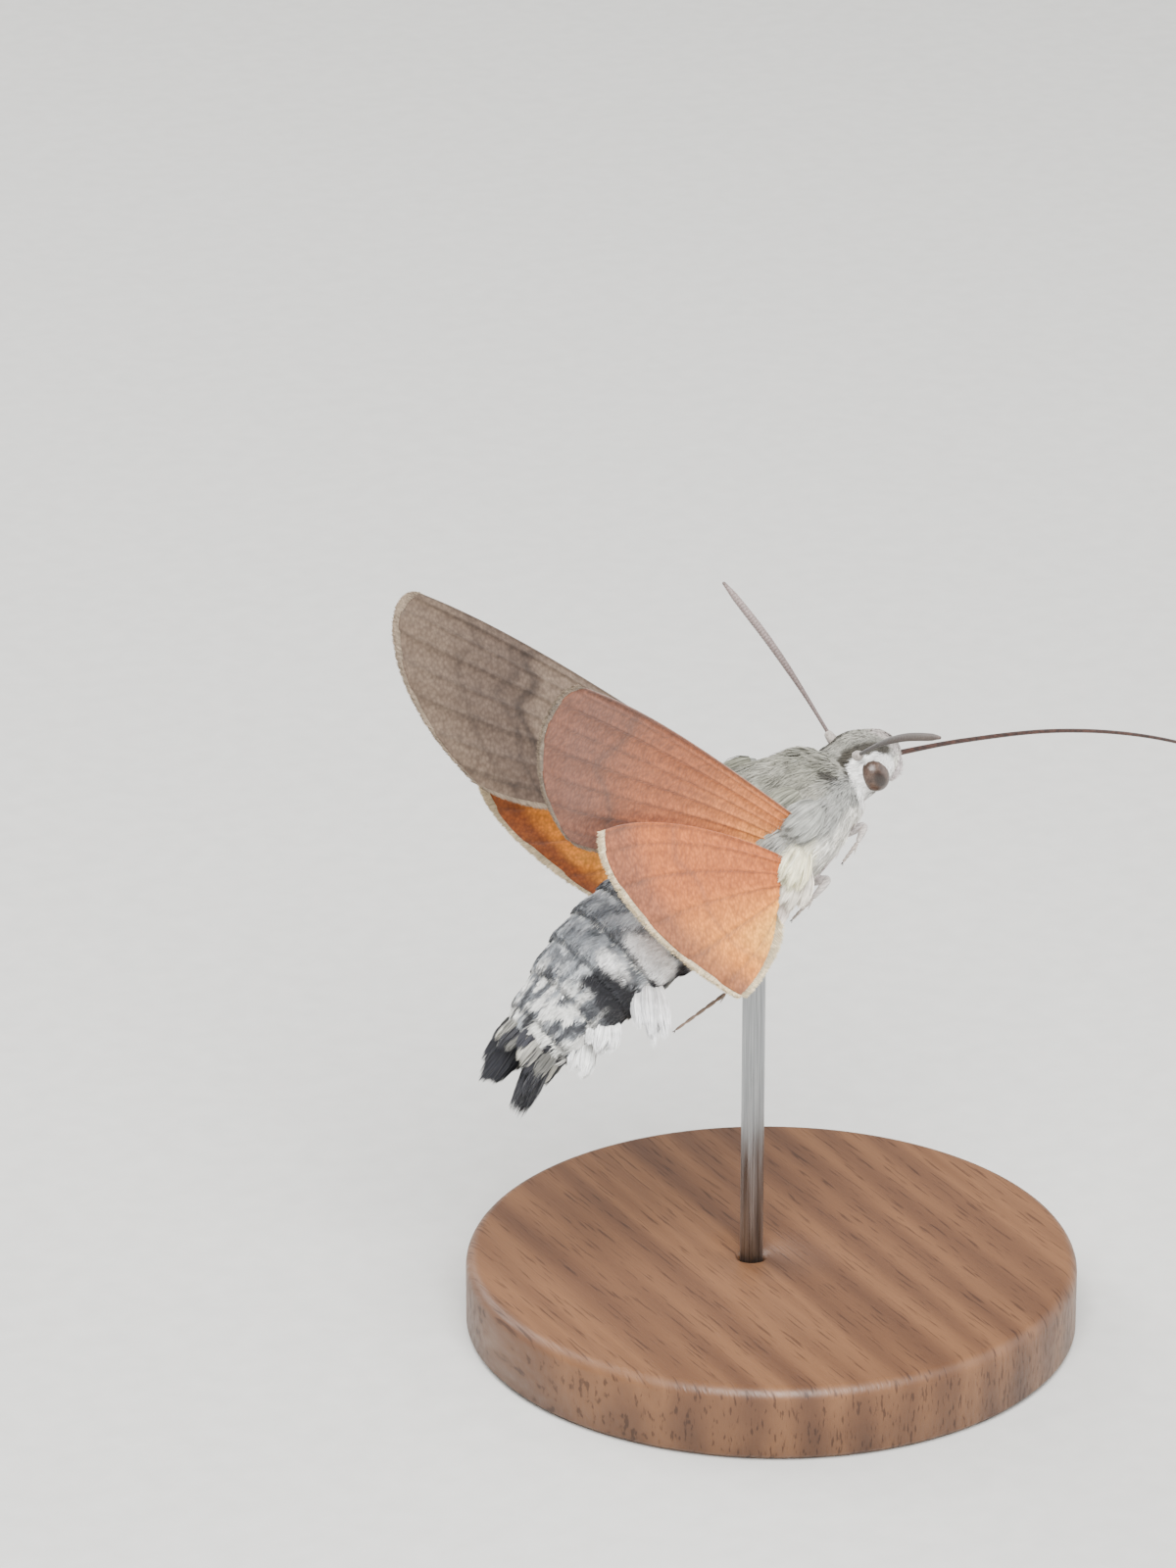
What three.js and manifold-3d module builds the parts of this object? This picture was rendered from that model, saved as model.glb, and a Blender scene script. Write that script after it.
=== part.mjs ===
// Hummingbird hawk moth at life size, hovering with its wings near the top of the stroke,
// held on a plain display stand. Millimetres, +Z up, +X is the way the moth heads and +Y its left.
// The origin is in the middle of the underside of the base.
import * as THREE from 'three';
import { mergeVertices } from 'three/addons/utils/BufferGeometryUtils.js';
import Module from 'manifold-3d';

const wasm = await Module();
wasm.setup();

// Driving dimensions
const PITCH = 34; // degrees that the body's axis is raised at the head
const HOVER_HEIGHT = 28; // from the floor to the moth's own origin, level with the wing bases
const GAP = 0.3; // between two pieces that meet
const BODY_SIDES = 28;

const NECK_X = 4.1;
const WAIST_X = -5.0;
const TAIL_X = -16.0;

const WING_THICKNESS = 0.5;
const VEIN_HEIGHT = 0.16;
const VEIN_SPREAD = 0.32; // share of a wing's width that its veins take up on either side of their ridges
const FOREWING_LENGTH = 20.8;
const FOREWING_WIDTH = 7.4;
const HINDWING_LENGTH = 13.0;
const HINDWING_WIDTH = 7.4;

const EYE_DIAMETER = 2.0;
const EYE_DEPTH = 1.4;
const ANTENNA_LENGTH = 9.9;
const ANTENNA_THICKNESS = 0.5;
const CLUB_THICKNESS = 0.64;
const PROBOSCIS_THICKNESS = 0.6;
const LEG_THICKNESS = 0.75;

const BASE_DIAMETER = 32;
const BASE_HEIGHT = 4;
const BASE_CHAMFER = 0.5;
const ROD_DIAMETER = 1.2;
const ROD_X = -1.2;

THREE.MathUtils.seededRandom(11);

// Shared shaping

// Closed skin over rings of points, with a fan about the middle of each end.
function loft(rings) {
  const sides = rings[0].length;
  const positions = rings.flat().flatMap((p) => [p.x, p.y, p.z]);
  const index = [];
  for (let i = 0; i < rings.length - 1; i++) {
    for (let j = 0; j < sides; j++) {
      const a = i * sides + j;
      const b = i * sides + ((j + 1) % sides);
      index.push(a, b, b + sides, a, b + sides, a + sides);
    }
  }
  const closeEnd = (ring, first, turned) => {
    const middle = ring.reduce((sum, p) => sum.add(p), new THREE.Vector3()).divideScalar(sides);
    const centre = positions.length / 3;
    positions.push(middle.x, middle.y, middle.z);
    for (let j = 0; j < sides; j++) {
      const a = first + j;
      const b = first + ((j + 1) % sides);
      index.push(centre, turned ? a : b, turned ? b : a);
    }
  };
  closeEnd(rings[0], 0, false);
  closeEnd(rings.at(-1), (rings.length - 1) * sides, true);
  return closedGeometry(positions, index);
}

// Geometry whose faces point out, whichever way its rings ran.
function closedGeometry(positions, index) {
  const corner = (k) => new THREE.Vector3().fromArray(positions, index[k] * 3);
  let volume = 0;
  for (let k = 0; k < index.length; k += 3) {
    volume += corner(k).dot(corner(k + 1).cross(corner(k + 2)));
  }
  const facing = volume < 0 ? index.toReversed() : index;
  const geometry = new THREE.BufferGeometry();
  geometry.setAttribute('position', new THREE.Float32BufferAttribute(positions, 3));
  geometry.setIndex(facing);
  return geometry;
}

function toSolid(geometry) {
  const bare = geometry.clone();
  bare.deleteAttribute('normal');
  bare.deleteAttribute('uv');
  const merged = mergeVertices(bare);
  return new wasm.Manifold(new wasm.Mesh({
    numProp: 3,
    vertProperties: new Float32Array(merged.attributes.position.array),
    triVerts: new Uint32Array(merged.index.array),
  }));
}

// Geometry of a solid's largest closed piece.
function toGeometry(solid) {
  const pieces = solid.decompose();
  const largest = pieces.reduce((a, b) => (b.volume() > a.volume() ? b : a));
  const { vertProperties, triVerts, numProp } = largest.getMesh();
  const positions = [];
  for (let k = 0; k < vertProperties.length; k += numProp) {
    positions.push(vertProperties[k], vertProperties[k + 1], vertProperties[k + 2]);
  }
  return closedGeometry(positions, Array.from(triVerts));
}

function joined(geometries) {
  return toGeometry(geometries.map(toSolid).reduce((whole, piece) => whole.add(piece)));
}

function cutBy(geometry, ...cutters) {
  return toGeometry(cutters.map(toSolid).reduce((rest, cutter) => rest.subtract(cutter), toSolid(geometry)));
}

// Tapered limb along a smooth curve; radii are spread evenly along it.
function limb(points, radii, { sides = 8, steps = 14, flatten = 1 } = {}) {
  const curve = new THREE.CatmullRomCurve3(points.map((p) => new THREE.Vector3(...p)));
  const frames = curve.computeFrenetFrames(steps);
  const radiusAt = spread(radii);
  const rings = [];
  for (let i = 0; i <= steps; i++) {
    const centre = curve.getPointAt(i / steps);
    const radius = radiusAt(i / steps);
    const ring = [];
    for (let j = 0; j < sides; j++) {
      const turn = (j / sides) * Math.PI * 2;
      ring.push(centre.clone()
        .addScaledVector(frames.normals[i], Math.cos(turn) * radius)
        .addScaledVector(frames.binormals[i], Math.sin(turn) * radius * flatten));
    }
    rings.push(ring);
  }
  return loft(rings);
}

// Smooth function over 0..1 through evenly spaced values.
function spread(values) {
  const places = values.map((_, i) => i / (values.length - 1));
  const blend = new THREE.LinearInterpolant(places, values, 1);
  return (u) => blend.evaluate(u)[0];
}

function mirrored([x, y, z], side) {
  return [x, y * side, z];
}

function material(color, roughness, metalness = 0) {
  return new THREE.MeshStandardMaterial({ color, roughness, metalness });
}

function node(name, geometry, look) {
  const mesh = new THREE.Mesh(geometry, look);
  mesh.name = name;
  return mesh;
}

// Body: head, thorax and abdomen as egg-shaped rings across one bent axis

// Each station: place along the body, height of the axis, half width, half height above and below it.
const HEAD_STATIONS = [
  [NECK_X + GAP / 2, -0.4, 2.1, 1.85, 1.75],
  [5.0, -0.5, 2.15, 1.8, 1.75],
  [5.8, -0.55, 2.15, 1.75, 1.7],
  [6.6, -0.62, 1.9, 1.5, 1.5],
  [7.15, -0.7, 1.5, 1.12, 1.15],
  [7.55, -0.78, 0.95, 0.7, 0.75],
  [7.75, -0.82, 0.3, 0.25, 0.25],
];
const THORAX_STATIONS = [
  [WAIST_X + GAP / 2, 0.35, 3.6, 2.9, 3.6],
  [-3.6, 0.3, 3.85, 3.2, 3.65],
  [-2.0, 0.2, 4.0, 3.5, 3.55],
  [-0.3, 0.15, 4.0, 3.6, 3.35],
  [1.0, 0.05, 3.85, 3.4, 3.05],
  [2.2, -0.05, 3.5, 3.0, 2.7],
  [3.2, -0.15, 3.05, 2.6, 2.35],
  [NECK_X - GAP / 2, -0.3, 2.6, 2.2, 2.0],
];
const ABDOMEN_STATIONS = [
  [-17.5, 0.2, 1.3, 1.0, 1.0],
  [-16.6, 0.3, 2.1, 1.6, 1.6],
  [-15.0, 0.5, 2.8, 2.05, 2.1],
  [-13.0, 0.8, 3.3, 2.45, 2.5],
  [-11.0, 1.05, 3.55, 2.6, 2.7],
  [-9.0, 1.0, 3.65, 2.7, 2.9],
  [-7.0, 0.75, 3.65, 2.75, 3.2],
  [WAIST_X - GAP / 2, 0.4, 3.55, 2.8, 3.55],
];
const SEGMENT_COUNT = 6; // ringed segments of the abdomen ahead of the tail
const SEGMENT_STEP = 0.14; // how far each segment's rear rim stands over the next

function bodyRing([x, z, wide, up, down], grow = 0) {
  const ring = [];
  for (let j = 0; j < BODY_SIDES; j++) {
    const turn = (j / BODY_SIDES) * Math.PI * 2;
    const tall = (Math.sin(turn) > 0 ? up : down) + grow;
    ring.push(new THREE.Vector3(x, Math.cos(turn) * (wide + grow), z + Math.sin(turn) * tall));
  }
  return ring;
}

// Station at any place between those listed.
function stationAt(stations, x) {
  const ordered = stations.toSorted((a, b) => a[0] - b[0]);
  const blend = new THREE.CubicInterpolant(ordered.map((s) => s[0]), ordered.flatMap((s) => s.slice(1)), 4);
  return [x, ...blend.evaluate(x)];
}

function bodySkin(stations, steps, grow = 0) {
  const from = stations[0][0];
  const to = stations.at(-1)[0];
  const ends = Math.sign(to - from) * grow;
  const rings = [];
  for (let i = 0; i <= steps; i++) {
    const x = THREE.MathUtils.lerp(from, to, i / steps);
    const ring = bodyRing(stationAt(stations, x), grow);
    const shift = i === 0 ? -ends : i === steps ? ends : 0;
    rings.push(ring.map((p) => p.setX(p.x + shift)));
  }
  return loft(rings);
}

function thorax() {
  return bodySkin(THORAX_STATIONS, 14);
}

// What must stay clear of the thorax is cut by this wider one.
function thoraxWithGap() {
  return bodySkin(THORAX_STATIONS, 14, GAP * 1.1);
}

// Abdomen as telescoped segments, each with a raised rear rim.
function abdomen() {
  const front = WAIST_X - GAP / 2;
  const length = front - (TAIL_X + GAP / 2);
  const rings = [];
  for (let k = 0; k < SEGMENT_COUNT; k++) {
    for (const [along, lift] of [[0.02, 0], [0.45, 0.35], [0.86, 1], [0.98, 0.8]]) {
      const x = front - (length * (k + (k === 0 && along < 0.1 ? 0 : along))) / SEGMENT_COUNT;
      rings.push(bodyRing(stationAt(ABDOMEN_STATIONS, x), lift * SEGMENT_STEP));
    }
  }
  return joined([loft(rings), ...lateralTufts()]);
}

// Tufts of long scales

// Flat tapered lock from a root sunk in the body to its tip; across is the way its width runs.
function lock(from, tip, across, width, thickness, bend) {
  const middle = from.clone().lerp(tip, 0.5).add(bend);
  const curve = new THREE.QuadraticBezierCurve3(from, middle, tip);
  const rings = [[0, 0.6], [0.4, 1], [0.78, 0.8], [1, 0.16]].map(([u, share]) => {
    const along = curve.getTangent(u);
    const flat = across.clone().projectOnPlane(along).normalize();
    const thin = along.clone().cross(flat);
    return [0, 1, 2, 3, 4, 5].map((j) => {
      const turn = (j / 6) * Math.PI * 2;
      return curve.getPoint(u)
        .addScaledVector(flat, Math.cos(turn) * share * width / 2)
        .addScaledVector(thin, Math.sin(turn) * Math.max(share, 0.5) * thickness / 2);
    });
  });
  return loft(rings);
}

// Locks fanned side by side from one root, shorter and more bent towards the edges of the fan.
function tuft({ root, lean, across, fan, locks, width, thickness }, side = 1) {
  const from = new THREE.Vector3(...mirrored(root, side));
  const reach = new THREE.Vector3(...mirrored(lean, side));
  const flat = new THREE.Vector3(...mirrored(across, side)).projectOnPlane(reach).normalize();
  const thin = reach.clone().normalize().cross(flat);
  return Array.from({ length: locks }, (_, k) => {
    const place = k / (locks - 1) - 0.5;
    const share = 1 - 0.7 * place * place - 0.1 * THREE.MathUtils.seededRandom();
    const layer = (k % 2 ? 0.3 : -0.3) * thickness;
    const start = from.clone().addScaledVector(flat, place * fan * 0.4).addScaledVector(thin, layer);
    const tip = from.clone().addScaledVector(reach, share).addScaledVector(flat, place * fan)
      .addScaledVector(thin, layer * 1.4);
    return lock(start, tip, flat, width, thickness, flat.clone().multiplyScalar(place * fan * 0.22));
  });
}

// Tufts along the left side of the abdomen: root, lean and how wide they fan.
const LATERAL_TUFTS = [
  { root: [-10.5, 2.8, 0.3], lean: [-2.2, 2.6, -1.6], fan: 1.7, locks: 4, width: 0.85 },
  { root: [-13.3, 2.3, 0.1], lean: [-1.9, 1.8, -0.3], fan: 1.2, locks: 3, width: 0.75 },
  { root: [-14.6, 2.0, -0.3], lean: [-2.1, 1.7, -0.5], fan: 0.9, locks: 2, width: 0.75 },
].map((place) => ({ ...place, across: [0.6, 0, -0.8], thickness: 0.55 }));

function lateralTufts() {
  return [1, -1].flatMap((side) => LATERAL_TUFTS.flatMap((place) => tuft(place, side)));
}

// Tail: the last segment with a fan of long locks in two lobes and short ones over the rump

const TAIL_LOBES = [
  { root: [-16.5, 0.95, 0.75], lean: [-3.5, 1.35, -1.9], across: [0.55, 0.6, 0.55], fan: 1.1, locks: 4 },
  { root: [-16.5, -0.75, 0.0], lean: [-3.6, -0.5, -1.45], across: [0.2, 1, -0.45], fan: 2.3, locks: 5 },
].map((place) => ({ ...place, width: 0.95, thickness: 0.6 }));
const RUMP_LOCKS = 8;
const RUMP_LOCK = { length: 1.5, width: 1.1, thickness: 0.5, flare: 0.35 };

function rumpLocks() {
  const [x, z, wide, up] = stationAt(ABDOMEN_STATIONS, -16.7);
  return Array.from({ length: RUMP_LOCKS }, (_, k) => {
    const turn = ((k + 0.5) / RUMP_LOCKS) * Math.PI * 2;
    const out = new THREE.Vector3(0, Math.cos(turn), Math.sin(turn));
    const start = new THREE.Vector3(x, Math.cos(turn) * wide * 0.72, z + Math.sin(turn) * up * 0.72);
    const reach = RUMP_LOCK.length * (0.85 + 0.3 * THREE.MathUtils.seededRandom());
    const tip = start.clone().add(new THREE.Vector3(-reach, 0, -0.3)).addScaledVector(out, RUMP_LOCK.flare);
    const across = new THREE.Vector3(0, -Math.sin(turn), Math.cos(turn));
    return lock(start, tip, across, RUMP_LOCK.width, RUMP_LOCK.thickness, out.clone().multiplyScalar(0.15));
  });
}

function tailFan() {
  const from = TAIL_X - GAP / 2;
  const rings = [0, 0.35, 0.7, 1].map((u) => {
    const x = THREE.MathUtils.lerp(from, ABDOMEN_STATIONS[0][0], u);
    return bodyRing(stationAt(ABDOMEN_STATIONS, x));
  });
  return joined([loft(rings), ...TAIL_LOBES.flatMap((lobe) => tuft(lobe)), ...rumpLocks()]);
}

// Head: eyes set in sockets, palps under the brow, feelers and the long tongue

const EYE_CENTRE = [5.4, 1.62, -0.6];
const FEELER_ROOT = [5.3, 1.2, 0.75];

function eyeball(side, grow = 0) {
  const ball = new THREE.SphereGeometry(1, 18, 12);
  const radius = EYE_DIAMETER / 2 + grow;
  ball.scale(radius, EYE_DEPTH / 2 + grow, radius);
  ball.translate(...mirrored(EYE_CENTRE, side));
  return ball;
}

function head() {
  return cutBy(bodySkin(HEAD_STATIONS, 10), eyeball(1, GAP), eyeball(-1, GAP));
}

// Palp bent up in front of the face, from under the head to its tip.
const PALP_PATH = [[5.9, 0.55, -2.2], [7.0, 0.58, -2.15], [7.75, 0.5, -1.25]];
const PALP_RADII = [0.3, 0.44, 0.44, 0.14];

function palpShape(side, grow) {
  const points = PALP_PATH.map((p) => mirrored(p, side));
  return limb(points, PALP_RADII.map((radius) => radius + grow), { sides: 10, steps: 8 });
}

function palp(side) {
  return cutBy(palpShape(side, 0), bodySkin(HEAD_STATIONS, 10, GAP * 1.2));
}

// Club thickens towards the tip and ends in a small hook.
function antenna(side) {
  const lean = side > 0 ? [1.3, 5.45, 8.2] : [1.9, -8.6, 3.6];
  const reach = Math.hypot(...lean);
  const root = mirrored(FEELER_ROOT, side);
  const bend = side > 0 ? [0.25, 0.1, 0.15] : [0.2, 0.1, 0.35];
  const points = [0, 0.3, 0.6, 0.9, 1].map((u) => root.map((value, axis) =>
    value + (lean[axis] / reach) * ANTENNA_LENGTH * u + bend[axis] * Math.sin(u * Math.PI)));
  const thin = ANTENNA_THICKNESS / 2;
  const club = CLUB_THICKNESS / 2;
  const radii = [thin, thin, thin * 1.1, thin * 1.3, club * 0.9, club, club * 0.85, 0.12];
  const shape = limb(points, radii, { sides: 10, steps: 16 });
  return cutBy(shape, bodySkin(HEAD_STATIONS, 10, GAP));
}

const PROBOSCIS_PATH = [
  [7.4, 0, -1.7], [10.6, 0, -3.9], [14.6, 0, -7.1], [18.0, 0, -10.6], [20.8, 0, -14.4], [22.8, 0, -18.4],
];

function proboscis() {
  const thick = PROBOSCIS_THICKNESS / 2;
  const radii = [thick, thick, thick * 0.92, thick * 0.86, thick * 0.8, 0.16];
  const shape = limb(PROBOSCIS_PATH, radii, { sides: 8, steps: 26 });
  return cutBy(shape, bodySkin(HEAD_STATIONS, 10, GAP), palpShape(1, GAP), palpShape(-1, GAP));
}

// Wings

// A wing's own axes: out along its span, back along its chord and up through its upper face.
function wingAxes(side, dihedral, sweep, twist) {
  const [d, s, t] = [dihedral, sweep, twist].map(THREE.MathUtils.degToRad);
  const span = new THREE.Vector3(-Math.sin(s), side * Math.cos(d) * Math.cos(s), Math.sin(d) * Math.cos(s));
  const flat = new THREE.Vector3(-Math.cos(s), -side * Math.cos(d) * Math.sin(s), -Math.sin(d) * Math.sin(s));
  const upper = span.clone().cross(flat).multiplyScalar(side);
  const chord = flat.clone().multiplyScalar(Math.cos(t)).addScaledVector(upper, Math.sin(t));
  const normal = span.clone().cross(chord).multiplyScalar(side);
  return { span, chord, normal };
}

function planCurve(points) {
  return new THREE.CubicBezierCurve(...points.map(([out, back]) => new THREE.Vector2(out, back)));
}

// Outline of a wing in its own plane: out from the root and back from the leading edge.
const FOREWING_PLAN = {
  front: planCurve([[0, -0.07], [0.34, -0.12], [0.7, -0.2], [0.97, -0.1]].map(([out, back]) =>
    [out * FOREWING_LENGTH, back * FOREWING_WIDTH])),
  rear: planCurve([[0, 0.26], [0.2, 0.4], [0.44, 0.86], [0.625, 0.86]].map(([out, back]) =>
    [out * FOREWING_LENGTH, back * FOREWING_WIDTH])),
  tip: planCurve([[0.97, -0.1], [1.06, 0.02], [0.95, 0.62], [0.625, 0.86]].map(([out, back]) =>
    [out * FOREWING_LENGTH, back * FOREWING_WIDTH])),
};
const HINDWING_PLAN = {
  front: planCurve([[0, -0.14], [0.3, -0.2], [0.75, -0.18], [0.97, 0.05]].map(([out, back]) =>
    [out * HINDWING_LENGTH, back * HINDWING_WIDTH])),
  rear: planCurve([[-0.02, 0.22], [-0.06, 0.42], [-0.02, 0.68], [0.085, 0.86]].map(([out, back]) =>
    [out * HINDWING_LENGTH, back * HINDWING_WIDTH])),
  tip: planCurve([[0.97, 0.05], [0.97, 0.36], [0.5, 0.74], [0.085, 0.86]].map(([out, back]) =>
    [out * HINDWING_LENGTH, back * HINDWING_WIDTH])),
};

// Point of the wing: along runs from the root to the outer margin, over from front to rear.
function planPoint(plan, along, over) {
  const front = plan.front.getPoint(along);
  const rear = plan.rear.getPoint(along);
  const root = plan.front.getPoint(0).lerp(plan.rear.getPoint(0), over);
  const tipChord = plan.tip.getPoint(0).lerp(plan.tip.getPoint(1), over);
  const corners = root.clone().lerp(tipChord, along);
  return front.lerp(rear, over).add(root.lerp(plan.tip.getPoint(over), along)).sub(corners);
}

// Membrane with its veins raised in both faces, split into triangles alike on either side.
function wing({ side, root, dihedral, sweep, twist, plan, veins, droop, camber, steps }) {
  const axes = wingAxes(side, dihedral, sweep, twist);
  const origin = new THREE.Vector3(...mirrored(root, side));
  const length = plan.front.getPoint(1).x;
  const foot = VEIN_SPREAD / veins.length;
  const columns = [0, ...veins.flatMap((over) => [over - foot, over, over + foot]), 1];
  const isVein = (column) => column % 3 === 2;
  const upperFace = [];
  const lowerFace = [];
  for (let i = 0; i <= steps; i++) {
    const along = i / steps;
    columns.forEach((over, column) => {
      const flat = planPoint(plan, along, over);
      const out = flat.x / length;
      const bulge = Math.sin(Math.PI * over) * Math.sin(Math.PI * Math.min(along, 0.9));
      const rise = camber * bulge - droop * out * out;
      const middle = origin.clone()
        .addScaledVector(axes.span, flat.x)
        .addScaledVector(axes.chord, flat.y)
        .addScaledVector(axes.normal, rise);
      const ridge = isVein(column) ? VEIN_HEIGHT * Math.sin(Math.PI * Math.min(1, 0.15 + along * 0.84)) : 0;
      const half = WING_THICKNESS / 2 + ridge;
      upperFace.push(middle.clone().addScaledVector(axes.normal, half));
      lowerFace.push(middle.clone().addScaledVector(axes.normal, -half));
    });
  }
  return sheet(upperFace, lowerFace, columns.length, steps + 1);
}

// Closes two matching grids of points into one thin solid.
function sheet(upperFace, lowerFace, columns, rows) {
  const positions = [...upperFace, ...lowerFace].flatMap((p) => [p.x, p.y, p.z]);
  const below = upperFace.length;
  const index = [];
  for (let i = 0; i < rows - 1; i++) {
    for (let j = 0; j < columns - 1; j++) {
      const a = i * columns + j;
      const [b, c, d] = [a + 1, a + columns + 1, a + columns];
      index.push(a, b, c, a, c, d);
      index.push(below + a, below + c, below + b, below + a, below + d, below + c);
    }
  }
  const edge = [];
  for (let j = 0; j < columns; j++) edge.push(j);
  for (let i = 1; i < rows; i++) edge.push(i * columns + columns - 1);
  for (let j = columns - 2; j >= 0; j--) edge.push((rows - 1) * columns + j);
  for (let i = rows - 2; i > 0; i--) edge.push(i * columns);
  edge.forEach((a, k) => {
    const b = edge[(k + 1) % edge.length];
    index.push(b, a, below + a, b, below + a, below + b);
  });
  return closedGeometry(positions, index);
}

const FOREWING_VEINS = [0.1, 0.24, 0.38, 0.52, 0.66, 0.8, 0.92];
const HINDWING_VEINS = [0.14, 0.34, 0.54, 0.74, 0.9];

function forewing(side) {
  const shape = wing({
    side, root: [0.2, 3.0, 1.1], plan: FOREWING_PLAN, veins: FOREWING_VEINS, steps: 14,
    dihedral: side > 0 ? 78 : 77, sweep: side > 0 ? 20 : 18, twist: 7, droop: 1.0, camber: 0.25,
  });
  return cutBy(shape, thoraxWithGap());
}

function hindwing(side) {
  const shape = wing({
    side, root: [-2.2, 3.95, 0.45], plan: HINDWING_PLAN, veins: HINDWING_VEINS, steps: 10,
    dihedral: 79.5, sweep: side > 0 ? 31 : 28, twist: -25, droop: 0, camber: 0.2,
  });
  return cutBy(shape, thoraxWithGap());
}

// Legs, folded against the underside

// Hip, knee, heel and toe of each left leg.
const LEG_JOINTS = {
  fore: [[2.4, 0.9, -3.0], [3.6, 1.4, -2.85], [2.6, 1.9, -3.0], [1.4, 1.75, -3.35]],
  mid: [[-0.6, 1.0, -3.75], [0.3, 2.0, -3.4], [-1.1, 2.35, -3.35], [-2.6, 2.3, -3.45]],
  hind: [[-3.2, 1.2, -3.65], [-4.4, 3.1, -3.1], [-7.8, 3.2, -3.25], [-11.0, 3.0, -2.95]],
};
// Half thickness along the thigh, the shin and the foot, rounded off at both ends.
const LEG_RADII = [[0.6, 0.92, 1, 0.9, 0.5], [0.55, 0.85, 0.8, 0.7, 0.45], [0.45, 0.67, 0.67, 0.6, 0.3]];

function leg(place, side) {
  const joints = LEG_JOINTS[place].map((p) => mirrored(p, side));
  const segments = LEG_RADII.map((shares, k) => {
    const radii = shares.map((share) => (share * LEG_THICKNESS) / 2);
    const middle = joints[k].map((value, axis) => (value + joints[k + 1][axis]) / 2);
    return limb([joints[k], middle, joints[k + 1]], radii, { steps: 8 });
  });
  return cutBy(joined(segments), thoraxWithGap());
}

// Stand

function standBase() {
  const radius = BASE_DIAMETER / 2;
  const outline = [
    [0, 0], [radius, 0], [radius, BASE_HEIGHT - BASE_CHAMFER],
    [radius - BASE_CHAMFER, BASE_HEIGHT], [0, BASE_HEIGHT],
  ];
  const turned = new THREE.LatheGeometry(outline.map(([r, z]) => new THREE.Vector2(r, z)), 48);
  return turned.rotateX(Math.PI / 2);
}

// Rod up to the underside of the thorax; its top follows the body.
function standRod(moth) {
  const foot = BASE_HEIGHT + GAP;
  const rod = new THREE.CylinderGeometry(ROD_DIAMETER / 2, ROD_DIAMETER / 2, HOVER_HEIGHT - foot, 20);
  rod.rotateX(Math.PI / 2).translate(ROD_X, 0, (HOVER_HEIGHT + foot) / 2);
  const body = thoraxWithGap().applyMatrix4(moth.matrix);
  return cutBy(rod, body);
}

// The whole model

const greyFur = material(0x9b9c95, 0.9);
const darkFur = material(0x56565a, 0.9);
const tailBlack = material(0x2a2a30, 0.85);
const forewingBrown = material(0x7e6a5c, 0.8);
const hindwingOrange = material(0xd9792c, 0.75);
const eyeBrown = material(0x5a4638, 0.25);
const feelerGrey = material(0x9a8a88, 0.7);
const tongueBrown = material(0x4a2a22, 0.5);
const legWhite = material(0xd8d2cc, 0.9);
const steel = material(0xb4b6b8, 0.3, 0.9);
const walnut = material(0x5b3d28, 0.6);

const moth = new THREE.Group();
moth.rotation.y = -THREE.MathUtils.degToRad(PITCH);
moth.position.z = HOVER_HEIGHT;
moth.updateMatrix();

moth.add(node('head', head(), greyFur));
moth.add(node('thorax', thorax(), greyFur));
moth.add(node('abdomen', abdomen(), darkFur));
moth.add(node('tail_fan', tailFan(), tailBlack));
moth.add(node('proboscis', proboscis(), tongueBrown));
for (const [side, name] of [[1, 'left'], [-1, 'right']]) {
  moth.add(node(`eye_${name}`, eyeball(side), eyeBrown));
  moth.add(node(`palp_${name}`, palp(side), greyFur));
  moth.add(node(`antenna_${name}`, antenna(side), feelerGrey));
  moth.add(node(`forewing_${name}`, forewing(side), forewingBrown));
  moth.add(node(`hindwing_${name}`, hindwing(side), hindwingOrange));
  for (const place of ['fore', 'mid', 'hind']) {
    moth.add(node(`leg_${place}_${name}`, leg(place, side), legWhite));
  }
}

const model = new THREE.Group();
model.add(moth);
model.add(node('stand_base', standBase(), walnut));
model.add(node('stand_rod', standRod(moth), steel));

export default model;
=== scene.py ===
"""Hummingbird hawk moth at life size, hovering over a plain display stand.

The moth's pieces are worked out in its own millimetres, x ahead, y to its left and z up
through its back, and then set on the rod. The stand is worked out in the frame's millimetres.
"""
import math

import bmesh
import bpy
import numpy as np
from mathutils import Matrix, Vector


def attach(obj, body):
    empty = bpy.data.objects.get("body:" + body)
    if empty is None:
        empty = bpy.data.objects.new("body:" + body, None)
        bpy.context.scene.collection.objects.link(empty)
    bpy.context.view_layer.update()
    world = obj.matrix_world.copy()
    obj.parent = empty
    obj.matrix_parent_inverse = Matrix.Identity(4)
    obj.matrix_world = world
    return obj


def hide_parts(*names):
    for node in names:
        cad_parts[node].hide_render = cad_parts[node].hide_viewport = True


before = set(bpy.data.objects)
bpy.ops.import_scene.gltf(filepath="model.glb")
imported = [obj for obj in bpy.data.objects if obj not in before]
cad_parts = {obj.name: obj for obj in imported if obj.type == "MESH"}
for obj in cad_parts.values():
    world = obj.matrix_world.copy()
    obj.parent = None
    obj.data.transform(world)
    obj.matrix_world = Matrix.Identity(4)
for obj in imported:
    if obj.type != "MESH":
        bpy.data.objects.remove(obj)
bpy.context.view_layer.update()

# Base
# A disc of walnut turned on a lathe, with an eased top edge and a small countersink drilled
# off its middle for the rod, sanded and wiped with oil. It stands on its flat underside.

MM = 0.001
ROD_X = -1.2
BASE_RADIUS = 16.0
BASE_HEIGHT = 4.0
EASED_EDGE = 0.7
HOLE_RADIUS = 0.62
COUNTERSINK = 0.28


def shade(hex_colour):
    """An sRGB hex colour as the linear red, green and blue that a shader works in."""
    parts = np.array([int(hex_colour[k:k + 2], 16) / 255 for k in (1, 3, 5)])
    return np.where(parts <= 0.04045, parts / 12.92, ((parts + 0.055) / 1.055) ** 2.4)


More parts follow.
